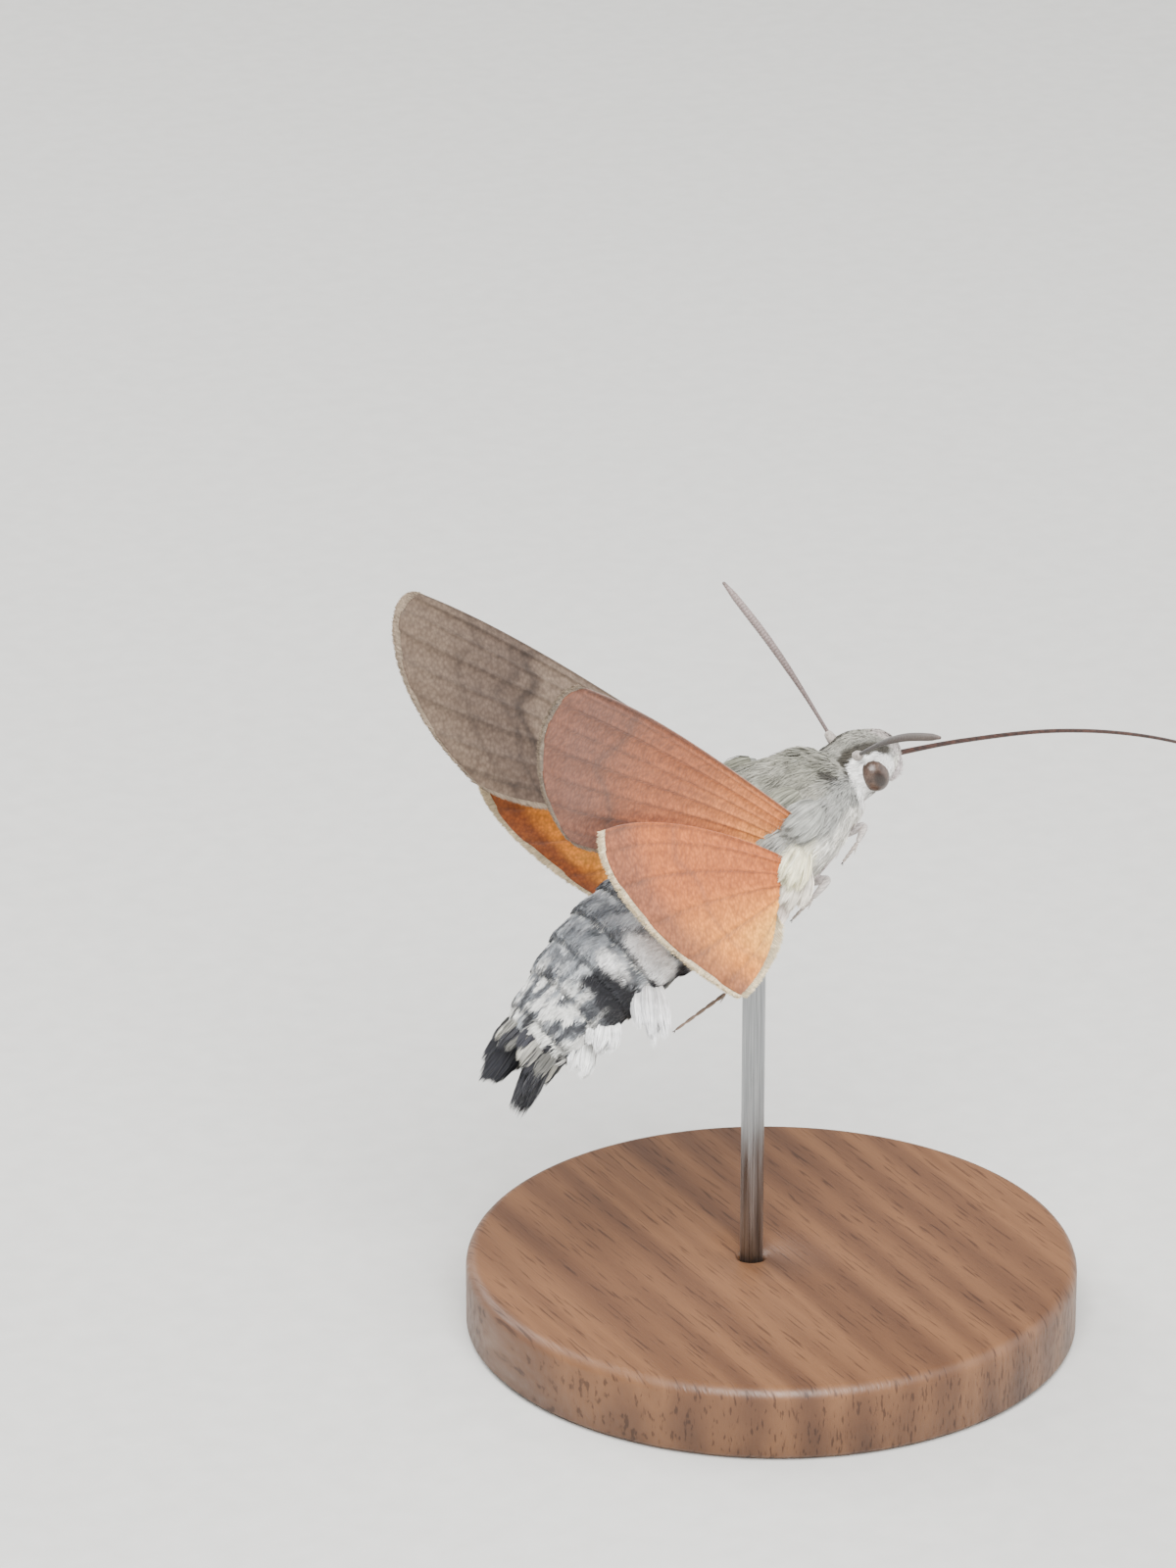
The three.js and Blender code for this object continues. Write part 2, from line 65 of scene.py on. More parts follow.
def paint(hex_colour):
    """The same with full opacity, as a colour socket takes it."""
    return (*shade(hex_colour), 1.0)


def connect(tree, node, sockets):
    """Links a node's inputs to other nodes' outputs, or sets them."""
    for key, value in sockets.items():
        if isinstance(value, bpy.types.NodeSocket):
            tree.links.new(value, node.inputs[key])
        else:
            node.inputs[key].default_value = value


def add(tree, kind, output, sockets=None, steps=(), **settings):
    """One node with its settings, inputs and colour steps, as (place, hex colour); gives its output."""
    made = tree.nodes.new("ShaderNode" + kind)
    for name, value in settings.items():
        setattr(made, name, value)
    if steps:
        points = made.color_ramp.elements
        while len(points) < len(steps):
            points.new(0.5)
        for point, (place, colour) in zip(points, steps):
            point.position = place
            point.color = paint(colour)
    connect(tree, made, sockets or {})
    return made.outputs[output]


def new_finish(name):
    """A material, its nodes, its shader and the place on the model in millimetres."""
    made = bpy.data.materials.new(name)
    made.use_nodes = True
    tree = made.node_tree
    place = add(tree, "TexCoord", "Object")
    spot = add(tree, "Mapping", "Vector", {"Vector": place, "Scale": (1 / MM, 1 / MM, 1 / MM)})
    return made, tree, tree.nodes["Principled BSDF"], spot


MULTIPLY = {"data_type": "RGBA", "blend_type": "MULTIPLY"}


def oiled_walnut():
    """Walnut, sanded and oiled: brown growth bands, short dark pores along them, a satin skin."""
    made, tree, shader, spot = new_finish("oiled_walnut")
    # Growth bands lie about 2.2 mm apart, where a wave of scale 1 has them 0.314 apart.
    board = add(tree, "Mapping", "Vector", {
        "Vector": spot, "Location": (7, 31, 0), "Rotation": (0.1, 0.06, 0.5), "Scale": (1, 0.07, 0.5)})
    bands = add(tree, "TexWave", "Fac", {
        "Vector": board, "Scale": 0.314 / 2.2, "Distortion": 2.6, "Detail": 2.0, "Detail Scale": 0.5})
    waver = add(tree, "TexNoise", "Fac", {"Vector": board, "Scale": 0.35, "Detail": 5.0})
    growth = add(tree, "Mix", "Result", {"Factor": 0.82, "A": bands, "B": waver})
    wood = add(tree, "ValToRGB", "Color", {"Fac": growth}, [
        (0.25, "#4A2F1E"), (0.45, "#5C3D27"), (0.6, "#6E4B30"), (0.8, "#573822")])
    # Pores are about 0.15 mm wide and 3 mm long.
    along = add(tree, "Mapping", "Vector", {
        "Vector": spot, "Rotation": (0, 0, 0.5), "Scale": (6.5, 0.35, 1.5)})
    pores = add(tree, "TexNoise", "Fac", {"Vector": along, "Scale": 1.0, "Detail": 2.0})
    dark = add(tree, "ValToRGB", "Color", {"Fac": pores}, [(0.34, "#8A7A6E"), (0.42, "#FFFFFF")])
    grain = add(tree, "Mix", "Result", {"Factor": 0.7, "A": wood, "B": dark}, **MULTIPLY)
    dull = add(tree, "MapRange", "Result", {
        "Value": pores, "From Min": 0.3, "From Max": 0.7, "To Min": 0.58, "To Max": 0.4})
    pits = add(tree, "Bump", "Normal", {"Height": pores, "Distance": 0.05 * MM, "Strength": 0.6})
    connect(tree, shader, {"Base Color": grain, "Roughness": dull, "Normal": pits, "IOR": 1.47})
    return made


def piece(name, places, faces, finish, stands_for=(), scales=None, unwrap=None, closed=True):
    """One shown piece: its mesh in metres, finish, colours of its scales, unwrap and place in the frame."""
    mesh = bpy.data.meshes.new(name)
    mesh.from_pydata(np.asarray(places, float).tolist(), [], faces)
    if closed:
        work = bmesh.new()
        work.from_mesh(mesh)
        bmesh.ops.recalc_face_normals(work, faces=work.faces)
        work.to_mesh(mesh)
        work.free()
    mesh.polygons.foreach_set("use_smooth", [True] * len(mesh.polygons))
    if scales is not None:
        layer = mesh.color_attributes.new("scales", "FLOAT_COLOR", "POINT")
        colours = np.ones((len(mesh.vertices), 4), np.float32)
        colours[:, :3] = np.clip(scales, 0, 1)
        layer.data.foreach_set("color", colours.ravel())
    if unwrap is not None:
        corners = np.zeros(len(mesh.loops), np.int32)
        mesh.loops.foreach_get("vertex_index", corners)
        mesh.uv_layers.new(name="OFBake").data.foreach_set("uv", unwrap[corners].astype(np.float32).ravel())
    mesh.materials.append(finish)
    made = bpy.data.objects.new(name, mesh)
    bpy.context.scene.collection.objects.link(made)
    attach(made, "root")
    if stands_for:
        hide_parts(*stands_for)


def loft(rings):
    """Points and faces of a closed skin over rings of points."""
    rings = np.asarray(rings, float)
    count, sides = rings.shape[:2]
    i = np.arange(count - 1)[:, None] * sides
    j = np.arange(sides)[None, :]
    k = (j + 1) % sides
    quads = np.stack([i + j, i + k, i + sides + k, i + sides + j], -1).reshape(-1, 4)
    ends = [list(range(sides))[::-1], list(range((count - 1) * sides, count * sides))]
    return rings.reshape(-1, 3), quads.tolist() + ends


def turned(profile, sides=160):
    """Points and faces of a lathe-turned body; profile is (radius, height, middle's x) from bottom to top."""
    turns = np.linspace(0, 2 * math.pi, sides, endpoint=False)
    rings = [[(x + r * math.cos(a), r * math.sin(a), z) for a in turns] for r, z, x in profile]
    return loft(rings)


eased = [(BASE_RADIUS - EASED_EDGE * (1 - math.sin(a)), BASE_HEIGHT - EASED_EDGE * (1 - math.cos(a)), 0)
         for a in np.linspace(math.pi / 2, 0, 9)]
base_profile = [(15.2, 0.0, 0), (15.75, 0.08, 0), (BASE_RADIUS, 0.35, 0), *eased, (9.0, BASE_HEIGHT, 0),
                (4.0, BASE_HEIGHT, 0), (HOLE_RADIUS + COUNTERSINK, BASE_HEIGHT, ROD_X),
                (HOLE_RADIUS, BASE_HEIGHT - COUNTERSINK, ROD_X), (HOLE_RADIUS, BASE_HEIGHT - 1.6, ROD_X)]
base_points, base_faces = turned(base_profile)
piece("turned_base", base_points * MM, base_faces, oiled_walnut(), ["stand_base"])

# Rod
# Straight 1.2 mm rod of stainless steel, brushed along its length. Its foot is pressed into
# the base and its top goes into the underside of the thorax, under the coat.

ROD_RADIUS = 0.6
ROD_TOP = 26.6


def brushed_steel():
    """Drawn stainless rod, brushed lengthways: fine streaks that spread the highlight."""
    made, tree, shader, spot = new_finish("brushed_steel")
    # Brush lines are about 0.02 mm wide; they're drawn 0.08 mm wide so that they show.
    lengthways = add(tree, "Mapping", "Vector", {"Vector": spot, "Scale": (12, 12, 0.25)})
    streaks = add(tree, "TexNoise", "Fac", {"Vector": lengthways, "Scale": 1.0, "Detail": 2.0})
    steel = add(tree, "ValToRGB", "Color", {"Fac": streaks}, [(0.3, "#808284"), (0.7, "#A9ABAD")])
    rough = add(tree, "MapRange", "Result", {
        "Value": streaks, "From Min": 0.3, "From Max": 0.7, "To Min": 0.26, "To Max": 0.4})
    lines = add(tree, "Bump", "Normal", {"Height": streaks, "Distance": 0.01 * MM, "Strength": 0.4})
    connect(tree, shader, {"Base Color": steel, "Roughness": rough, "Normal": lines, "Metallic": 1.0})
    return made


rod_profile = [(ROD_RADIUS - 0.1, BASE_HEIGHT - 1.5), (ROD_RADIUS, BASE_HEIGHT - 1.4),
               (ROD_RADIUS, 12.0), (ROD_RADIUS, 20.0),
               (ROD_RADIUS, ROD_TOP - 0.15), (ROD_RADIUS - 0.15, ROD_TOP)]
rod_points, rod_faces = turned([(radius, height, ROD_X) for radius, height in rod_profile], 48)
piece("steel_rod", rod_points * MM, rod_faces, brushed_steel(), ["stand_rod"])

# Body
# Head, thorax and abdomen are one hollow skin of chitin, with the abdomen's segments sliding
# into each other like the rings of a telescope. Almost all of it is hidden under scales.

PITCH = math.radians(34)
HOVER = 28.0
# Place along the body, height of its axis, half width, half height above and below.
BODY = np.array([
    [-17.5, 0.2, 1.3, 1.0, 1.0], [-16.6, 0.3, 2.1, 1.6, 1.6], [-15.0, 0.5, 2.8, 2.05, 2.1],
    [-13.0, 0.8, 3.3, 2.45, 2.5], [-11.0, 1.05, 3.55, 2.6, 2.7], [-9.0, 1.0, 3.65, 2.7, 2.9],
    [-7.0, 0.75, 3.65, 2.75, 3.2], [-5.0, 0.37, 3.58, 2.85, 3.58], [-3.6, 0.3, 3.85, 3.2, 3.65],
    [-2.0, 0.2, 4.0, 3.5, 3.55], [-0.3, 0.15, 4.0, 3.6, 3.35], [1.0, 0.05, 3.85, 3.4, 3.05],
    [2.2, -0.05, 3.5, 3.0, 2.7], [3.2, -0.15, 3.05, 2.6, 2.35], [3.95, -0.3, 2.55, 2.2, 2.0],
    [4.35, -0.4, 2.15, 1.85, 1.75], [5.0, -0.5, 2.15, 1.8, 1.75], [5.8, -0.55, 2.15, 1.75, 1.7],
    [6.6, -0.62, 1.9, 1.5, 1.5], [7.15, -0.7, 1.5, 1.12, 1.15], [7.55, -0.78, 0.95, 0.7, 0.75],
    [7.75, -0.82, 0.3, 0.25, 0.25]])
SLOPES = np.gradient(BODY[:, 1:], BODY[:, 0], axis=0)
TAIL_END, FACE_END = -17.2, 7.72
TAIL_ROUNDING = 0.9
WAIST = -5.15
SEGMENT = 1.783  # length of each of the abdomen's segments
RIM = 0.14  # how far a segment's rear rim stands over the next
LAST_RIM = -15.9
EYE = np.array([5.4, 1.62, -0.6])
BROW = 0.9  # half the width of the face between the eyes


def set_on_rod(points):
    """From the moth's own millimetres to the frame's metres."""
    x, y, z = np.moveaxis(np.asarray(points, float), -1, 0)
    c, s = math.cos(PITCH), math.sin(PITCH)
    return np.stack([x * c - z * s, y, HOVER + x * s + z * c], -1) * MM


def rise(value, low, high):
    """0 below low, 1 above high, and smooth between them; low may also be the higher one."""
    u = np.clip((value - low) / (high - low), 0, 1)
    return u * u * (3 - 2 * u)


def segment_phase(x):
    """0 at the front of each segment of the abdomen and 1 at its rear rim."""
    return np.mod((WAIST - x) / SEGMENT, 1.0)


def skin(x, turn, depth):
    """Point of the body; turn goes about its axis from the left side over the back."""
    x, turn = np.broadcast_arrays(np.asarray(x, float), np.asarray(turn, float))
    k = np.clip(np.searchsorted(BODY[:, 0], x) - 1, 0, len(BODY) - 2)
    gap = BODY[k + 1, 0] - BODY[k, 0]
    u = np.clip((x - BODY[k, 0]) / gap, 0, 1)[..., None]
    gap = gap[..., None]
    values = ((1 + 2 * u) * (1 - u) ** 2 * BODY[k, 1:] + u * (1 - u) ** 2 * gap * SLOPES[k]
              + u * u * (3 - 2 * u) * BODY[k + 1, 1:] + u * u * (u - 1) * gap * SLOPES[k + 1])
    axis, wide, above, below = np.moveaxis(values, -1, 0)
    phase = segment_phase(x)
    rim = RIM * np.where((x < WAIST) & (x > LAST_RIM), rise(phase, 0.1, 0.85) * rise(phase, 1.0, 0.93), 0)
    past = np.clip((TAIL_END + TAIL_ROUNDING - x) / TAIL_ROUNDING, 0, 1)
    closing = np.sqrt(np.clip(1 - past ** 2, 0.004, 1))
    grow = rim - depth
    tall = np.where(np.sin(turn) > 0, above, below) + grow
    return np.stack([x, np.cos(turn) * np.maximum(wide + grow, 0.03) * closing,
                     axis + np.sin(turn) * np.maximum(tall, 0.03) * closing], -1)


def coat_depth(x):
    """How far the skin lies under the coat's outline."""
    return 0.13 + 0.27 * rise(x, -5.6, -4.2) * rise(x, 4.4, 3.2) + 0.13 * rise(x, 3.6, 4.6)


def drift(points, size, seed):
    """Smooth random field of about -1 to 1, with hills that many millimetres across."""
    rng = np.random.default_rng(seed)
    total = np.zeros(points.shape[:-1])
    for _ in range(7):
        way = rng.normal(size=3)
        way *= 2 * math.pi / (size * rng.uniform(0.9, 2.2) * np.linalg.norm(way))
        total += np.sin(points @ way + rng.uniform(0, 2 * math.pi))
    return total / 3.2


def laid_over(colour, *layers):
    """Colours with others laid over them in turn; each layer is a hex colour and its share."""
    for over, share in layers:
        colour = colour + (shade(over) - colour) * np.clip(share, 0, 1)[..., None]
    return colour


def oval(x, level, middle_x, middle_level, half_x, half_level):
    """1 inside an oval patch on the flank and 0 outside it, with a soft edge."""
    off = np.hypot((x - middle_x) / half_x, (level - middle_level) / half_level)
    return rise(off, 1.25, 0.75)


# Middle and half size of each patch on the abdomen's flanks: along the body and in degrees of level.
WHITE_PATCHES = [(-9.6, 10, 0.78, 38), (-11.4, 36, 0.42, 18), (-7.6, -24, 0.6, 24)]
BLACK_PATCHES = [(-12.3, 0, 1.15, 48), (-10.4, -28, 0.5, 26), (-12.8, 44, 0.55, 16), (-8.75, -42, 0.45, 22),
                 (-14.2, -14, 0.55, 24), (-16.2, 10, 0.5, 60)]


def scale_colour(x, turn):
    """Colour of the scales at a place on the body, the same for the skin and for its coat."""
    spot = skin(x, turn, 0)
    wander, speckle = drift(spot, 1.5, 5), drift(spot, 0.55, 6)
    level = np.degrees(np.arcsin(np.sin(turn))) + 6 * wander + 4 * speckle
    x = x + 0.12 * wander + 0.08 * speckle
    reach = np.hypot(spot[..., 0] - EYE[0], spot[..., 2] - EYE[2])
    over_eye = rise(spot[..., 2] - EYE[2] + 0.25 * (spot[..., 0] - EYE[0]), 0.6, 0.95)
    # Thorax and head: warm grey back, bluer towards the wings, white flanks, rosy belly, and
    # round the eye a ring of white scales with a dark line over it, which is painted shade
    # where the feeler's root sits under the crown's scales.
    front = laid_over(
        shade("#8B897C"),
        ("#A19E92", rise(wander, -0.4, 0.8) * 0.7),
        ("#A3A39F", rise(level, 48, 26) * rise(x, -4.6, -3.0) * 0.8),
        ("#94928A", rise(x, 4.0, 4.9) * rise(level, 15, 35) * 0.6),
        ("#EAE6DC", rise(level, 8, -8) * (0.72 + 0.28 * rise(speckle, -0.3, 0.5))),
        ("#F5EED0", oval(x, level, -0.7, -2, 1.6, 20) * 0.85),
        ("#E2CFD0", rise(level, -30, -54) * 0.85),
        ("#35312C", oval(x, level, 3.72, 42, 0.3, 11) * 0.9),
        ("#F4F2EE", rise(reach, 1.5, 1.3) * (np.abs(spot[..., 1]) > BROW)),
        # Dark line over the eye: painted shade round the feeler's root.
        ("#3B372F", rise(reach, 1.3, 1.42) * rise(reach, 1.85, 1.66) * over_eye),
        ("#C4B8B4", rise(x, 6.9, 7.4) * 0.7))
    # Abdomen: slate back, white and black patches on the flanks, a thin white rim to each segment.
    phase = segment_phase(spot[..., 0] + 0.03 * wander)
    mottled = rise(x, -12.9, -13.8)
    rim = rise(phase, 0.92, 0.96) + rise(phase, 0.05, 0.01)
    rear = laid_over(
        shade("#8A8E92"),
        ("#C4C7C9", rise(speckle + wander, -0.3, 0.8) * 0.8),
        ("#43464B", rise(drift(spot, 0.8, 7), 0.0, 0.55) * rise(x, -7.0, -9.5) * 0.75),
        ("#5C5F64", rise(level, 58, 80) * rise(phase, 0.15, 0.5) * 0.6),
        ("#A9A59A", rise(level, -30, -52) * 0.8),
        ("#77716C", rise(level, -58, -75) * 0.7),
        *[("#FFFFFD", oval(x, level, *patch)) for patch in WHITE_PATCHES],
        *[("#1E1E22", oval(x, level, *patch)) for patch in BLACK_PATCHES],
        ("#DEDDD8", mottled * rise(speckle, -0.05, 0.35) * 0.9),
        ("#2E2E32", mottled * rise(speckle, -0.2, -0.6) * 0.85),
        ("#26272B", rise(phase, 0.78, 0.86) * rise(phase, 0.96, 0.91) * rise(level, -20, 0) * 0.7),
        ("#F0EFE8", rim * (1 - oval(x, level, -12.3, 0, 1.25, 52)) * rise(level, -30, -5)
         * rise(x, -6.0, -8.0) * rise(speckle, -0.9, -0.2)),
        ("#2B2B31", rise(x, -16.2, -16.9) * 0.85))
    return front + (rear - front) * rise(x, -4.9, -5.4)[..., None]


def on_unwrap(x, turn):
    """Place on the body's unwrap: along it from tail to face, and round it."""
    return np.stack([(x - TAIL_END) / (FACE_END - TAIL_END), turn / (2 * math.pi) + 0.5], -1)


def tinted(tree, share, tone):
    """The scales' own colours, darkened by a share of a tone."""
    scales = add(tree, "Attribute", "Color", attribute_name="scales")
    return add(tree, "Mix", "Result", {"Factor": share, "A": scales, "B": tone}, **MULTIPLY)


def downy_skin():
    """Chitin under a nap of fine scales: matt, streaked along the body, with a faint sheen."""
    made, tree, shader, spot = new_finish("downy_skin")
    # Hair-like scales are about 0.03 mm wide; their streaks are drawn 0.12 mm wide.
    nap = add(tree, "Mapping", "Vector", {
        "Vector": spot, "Rotation": (0, PITCH, 0), "Scale": (1.6, 8, 8)})
    streaks = add(tree, "TexNoise", "Fac", {"Vector": nap, "Scale": 1.0, "Detail": 3.0})
    tone = add(tree, "ValToRGB", "Color", {"Fac": streaks}, [(0.3, "#8A8A8A"), (0.7, "#FFFFFF")])
    relief = add(tree, "Bump", "Normal", {"Height": streaks, "Distance": 0.12 * MM})
    connect(tree, shader, {
        "Base Color": tinted(tree, 0.7, tone), "Normal": relief, "Roughness": 0.85,
        "Sheen Weight": 0.15, "Sheen Roughness": 0.5, "Specular IOR Level": 0.25})
    return made


body_x = np.arange(TAIL_END, FACE_END, 0.12)
body_turn = np.linspace(-math.pi, math.pi, 96, endpoint=False)
ring_x, ring_turn = np.meshgrid(body_x, body_turn, indexing="ij")
body_points, body_faces = loft(skin(ring_x, ring_turn, coat_depth(ring_x)))
skin_finish = downy_skin()
piece("body_skin", set_on_rod(body_points), body_faces, skin_finish,
      ["head", "thorax", "abdomen"], scale_colour(ring_x, ring_turn).reshape(-1, 3),
      on_unwrap(ring_x, ring_turn).reshape(-1, 2))

# Coat
# The coat is of flat scales rooted in the skin and lying back along the body: long and
# hair-like on the thorax, short and broad on the abdomen, shortest on the face.

PATCH = 0.0015  # half the side of a scale's place on the unwrap
EYE_SOCKET = (0.84, 0.97)  # half length and height of the bare place round each eye


def strips(paths, across, widths):
    """Points and faces of flat scales, each along its own path and ending in a point."""
    count, steps = paths.shape[:2]
    side = across * widths[..., None] / 2
    pairs = np.stack([paths[:, :-1] - side[:, :-1], paths[:, :-1] + side[:, :-1]], 2)
    points = np.concatenate([pairs.reshape(count, -1, 3), paths[:, -1:]], 1)
    first = np.arange(count)[:, None] * (2 * steps - 1)
    faces = []
    for i in range(steps - 2):
        faces += (first + np.array([2 * i + 1, 2 * i, 2 * i + 2, 2 * i + 3])).tolist()
    faces += (first + np.array([2 * steps - 3, 2 * steps - 4, 2 * steps - 2])).tolist()
    return points.reshape(-1, 3), faces


def unit(vectors):
    """The same directions, each of length 1."""
    return vectors / np.maximum(np.linalg.norm(vectors, axis=-1, keepdims=True), 1e-9)


def scaled_hair():
    """Hair-like scales of chitin: matt and softly glinting, with no two quite the same tone."""
    made, tree, shader, spot = new_finish("scaled_hair")
    # Each tuft's tone wanders over about 0.6 mm.
    clumps = add(tree, "TexNoise", "Fac", {"Vector": spot, "Scale": 1.6, "Detail": 3.0})
    tone = add(tree, "ValToRGB", "Color", {"Fac": clumps}, [(0.3, "#C4C4C4"), (0.7, "#FFFFFF")])
    rough = add(tree, "MapRange", "Result", {
        "Value": clumps, "From Min": 0.3, "From Max": 0.7, "To Min": 0.62, "To Max": 0.82})
    connect(tree, shader, {
        "Base Color": tinted(tree, 0.8, tone), "Roughness": rough, "Sheen Weight": 0.25,
        "Sheen Roughness": 0.4, "Specular IOR Level": 0.35})
    return made


hair_finish = scaled_hair()


def scale_piece(name, paths, across, widths, tones, shades, unwrap, stands_for=()):
    """Many flat scales as one piece: each has a tone, times a shade for each step from root to tip.

    On the unwrap each scale has a small patch at its root's own place.
    """
    points, faces = strips(paths, across[:, None], widths)
    shades = np.repeat(shades, [2] * (len(shades) - 1) + [1])
    colours = (tones[:, None] * shades[None, :, None]).reshape(-1, 3)
    patch = np.resize(np.array([[-1, -1], [1, -1], [-1, 1], [1, 1], [0, 1]]) * PATCH, (len(shades), 2))
    piece(name, set_on_rod(points), faces, hair_finish, stands_for, colours,
          (unwrap[:, None] + patch).reshape(-1, 2), closed=False)


def lay_coat(name, slot, ends, count, width, length, lift, seed):
    """Scales scattered evenly over the body between two places; length and lift vary with the root."""
    rng = np.random.default_rng(seed)
    x = rng.uniform(*ends, count * 3)
    turn = rng.uniform(-math.pi, math.pi, count * 3)
    girth = np.linalg.norm(skin(x, turn, 0) - skin(x, turn + math.pi, 0), axis=-1)
    root = skin(x, turn, coat_depth(x) + 0.04)
    off_eye = np.hypot((root[:, 0] - EYE[0]) / EYE_SOCKET[0], (root[:, 2] - EYE[2]) / EYE_SOCKET[1])
    kept = (rng.uniform(0, 8, count * 3) < girth) & ((off_eye >= 1) | (np.abs(root[:, 1]) <= BROW))
    x, turn, root = x[kept][:count], turn[kept][:count], root[kept][:count]
    # Back along the skin, round it and out of it, at each root.
    step, depth = 0.02, coat_depth(x)
    back = unit(skin(x - step, turn, depth) - skin(x + step, turn, depth))
    round_it = unit(skin(x, turn + step, depth) - skin(x, turn - step, depth))
    out = unit(np.cross(round_it, back))
    out *= np.sign((out * (root - np.stack([x, 0 * x, skin(x, 0 * x, 0)[:, 2]], -1))).sum(-1))[:, None]
    swirl = (0.3 * drift(root, 2.6, seed + 1) + 0.3 * drift(root, 0.6, seed + 2)
             + rng.normal(0, 0.12, len(x)))
    way = unit(back + round_it * swirl[:, None])
    tilt = rng.normal(0, 0.5, len(x))[:, None]
    flat = unit(np.cross(out, way) * np.cos(tilt) + out * np.sin(tilt))
    reach = length(x, np.degrees(np.arcsin(np.sin(turn)))) * rng.uniform(0.75, 1.2, len(x))
    angle = lift(x) * (1 + 0.5 * drift(root, 0.8, seed + 3)) + rng.normal(0, 0.05, len(x))
    paths = [root]
    for share, bend in [(0.55, 1.0), (0.45, 0.1)]:
        slant = (angle * bend)[:, None]
        paths.append(paths[-1] + (way * np.cos(slant) + out * np.sin(slant)) * (reach * share)[:, None])
    widths = width * rng.uniform(0.7, 1.3, len(x))[:, None] * np.array([0.75, 1.0, 0.0])
    uneven = 1 + rng.normal(0, 0.1, len(x)) + 0.08 * drift(root, 0.6, seed + 4)
    scale_piece(name, np.stack(paths, 1), flat, widths, scale_colour(x, turn) * uneven[:, None],
                [0.72, 1.0, 1.12], on_unwrap(x, turn))


def thorax_length(x, level):
    """Longest on the tippets, the two tufts that lie back over the wing bases."""
    tippet = 0.5 * rise(level, 15, 35) * rise(level, 75, 55) * rise(x, -3.0, -1.0) * rise(x, 2.6, 1.4)
    return 0.85 + 0.3 * rise(x, 4.4, 2.0) + tippet + 0.25 * rise(x, -3.0, -4.6)


# Ends, number of scales, their width, length and lift off the skin, and the seed.
for coat in [
        ("coat_thorax_front", "grey_fur", (0.2, 4.4), 30000, 0.075, thorax_length, lambda x: 0.2, 21),
        ("coat_thorax_rear", "grey_fur", (-5.3, 0.4), 38000, 0.075, thorax_length, lambda x: 0.2, 31),
        ("coat_head", "grey_fur", (4.2, 7.7), 26000, 0.055,
         lambda x, level: 0.26 + 0.34 * rise(x, 7.2, 5.4), lambda x: 0.3, 41),
        ("coat_abdomen", "dark_fur", (-17.1, -5.0), 64000, 0.085,
         lambda x, level: 0.42 + 0.3 * rise(x, -14.5, -16.5),
         lambda x: 0.12 + 0.1 * rise(x, -14.0, -16.0), 51)]:
    lay_coat(*coat)

# Side tufts and wing-base tufts
# Brushes of long white scales stand out from the sides of the abdomen, a cream tuft fills
# the hollow under each wing base, and grey ones lie back over it from the shoulder.

# Root, lean, how wide it fans, locks, width of a lock and the colour of its scales.
SIDE_TUFTS = [
    ([-10.5, 2.8, 0.3], [-2.2, 2.6, -1.6], 1.7, 5, 0.85, "#FFFFFF"),
    ([-13.3, 2.3, 0.1], [-1.9, 1.8, -0.3], 1.2, 4, 0.75, "#FDFDFB"),
    ([-14.6, 2.0, -0.3], [-2.1, 1.7, -0.5], 0.9, 3, 0.75, "#FAFAF6"),
]
WING_TUFTS = [
    ([-0.2, 3.35, 0.45], [-2.5, 0.85, -0.8], 1.9, 7, 0.75, "#F3ECCB"),
    ([-0.8, 3.25, -0.6], [-2.6, 0.65, -0.8], 1.6, 6, 0.7, "#EFE6D6"),
    ([-2.2, 3.0, -1.2], [-2.6, 0.7, -0.5], 1.3, 5, 0.7, "#EBDDD2"),
    ([1.7, 3.05, 1.3], [-2.7, 0.9, 0.6], 1.6, 7, 0.75, "#A3A39C"),
    ([1.4, 2.3, 2.2], [-2.5, 0.3, 0.3], 1.3, 5, 0.7, "#979686"),
]
TUFT_ACROSS = [0.6, 0.0, -0.8]


def bundle(rng, start, tip, across, width, thick, bend, hairs, hair_width, tone, blunt=0.35):
    """Paths, widths and colours of the scales of one lock, from its root to its ragged tip."""
    start, tip = np.asarray(start, float), np.asarray(tip, float)
    along = unit(tip - start)
    flat = unit(across - along * np.dot(across, along))
    thin = np.cross(along, flat)
    place = rng.uniform(-0.5, 0.5, hairs)
    layer = rng.uniform(-0.5, 0.5, hairs)
    share = 1 - blunt * np.abs(place) - 0.28 * rng.uniform(0, 1, hairs) ** 2
    u = np.array([0.0, 0.35, 0.7, 1.0])
    spread = np.array([0.5, 0.95, 1.0, 0.72])
    middle = start + (tip - start) * 0.5 + bend
    paths = []
    for step, wide in zip(u, spread):
        v = (step * share)[:, None]
        line = (1 - v) ** 2 * start + 2 * v * (1 - v) * middle + v * v * tip
        paths.append(line + flat * (place * width * wide)[:, None] + thin * (layer * thick * wide)[:, None])
    paths = np.stack(paths, 1) + rng.normal(0, 0.025, (hairs, 4, 3)) * u[None, :, None]
    widths = hair_width * rng.uniform(0.7, 1.3, hairs)[:, None] * np.array([0.8, 1.0, 0.8, 0.0])
    turn = rng.normal(0, 0.45, hairs)[:, None]
    faces_way = unit(flat * np.cos(turn) + thin * np.sin(turn))
    return paths, faces_way, widths, shade(tone) * (1 + rng.normal(0, 0.1, hairs))[:, None]


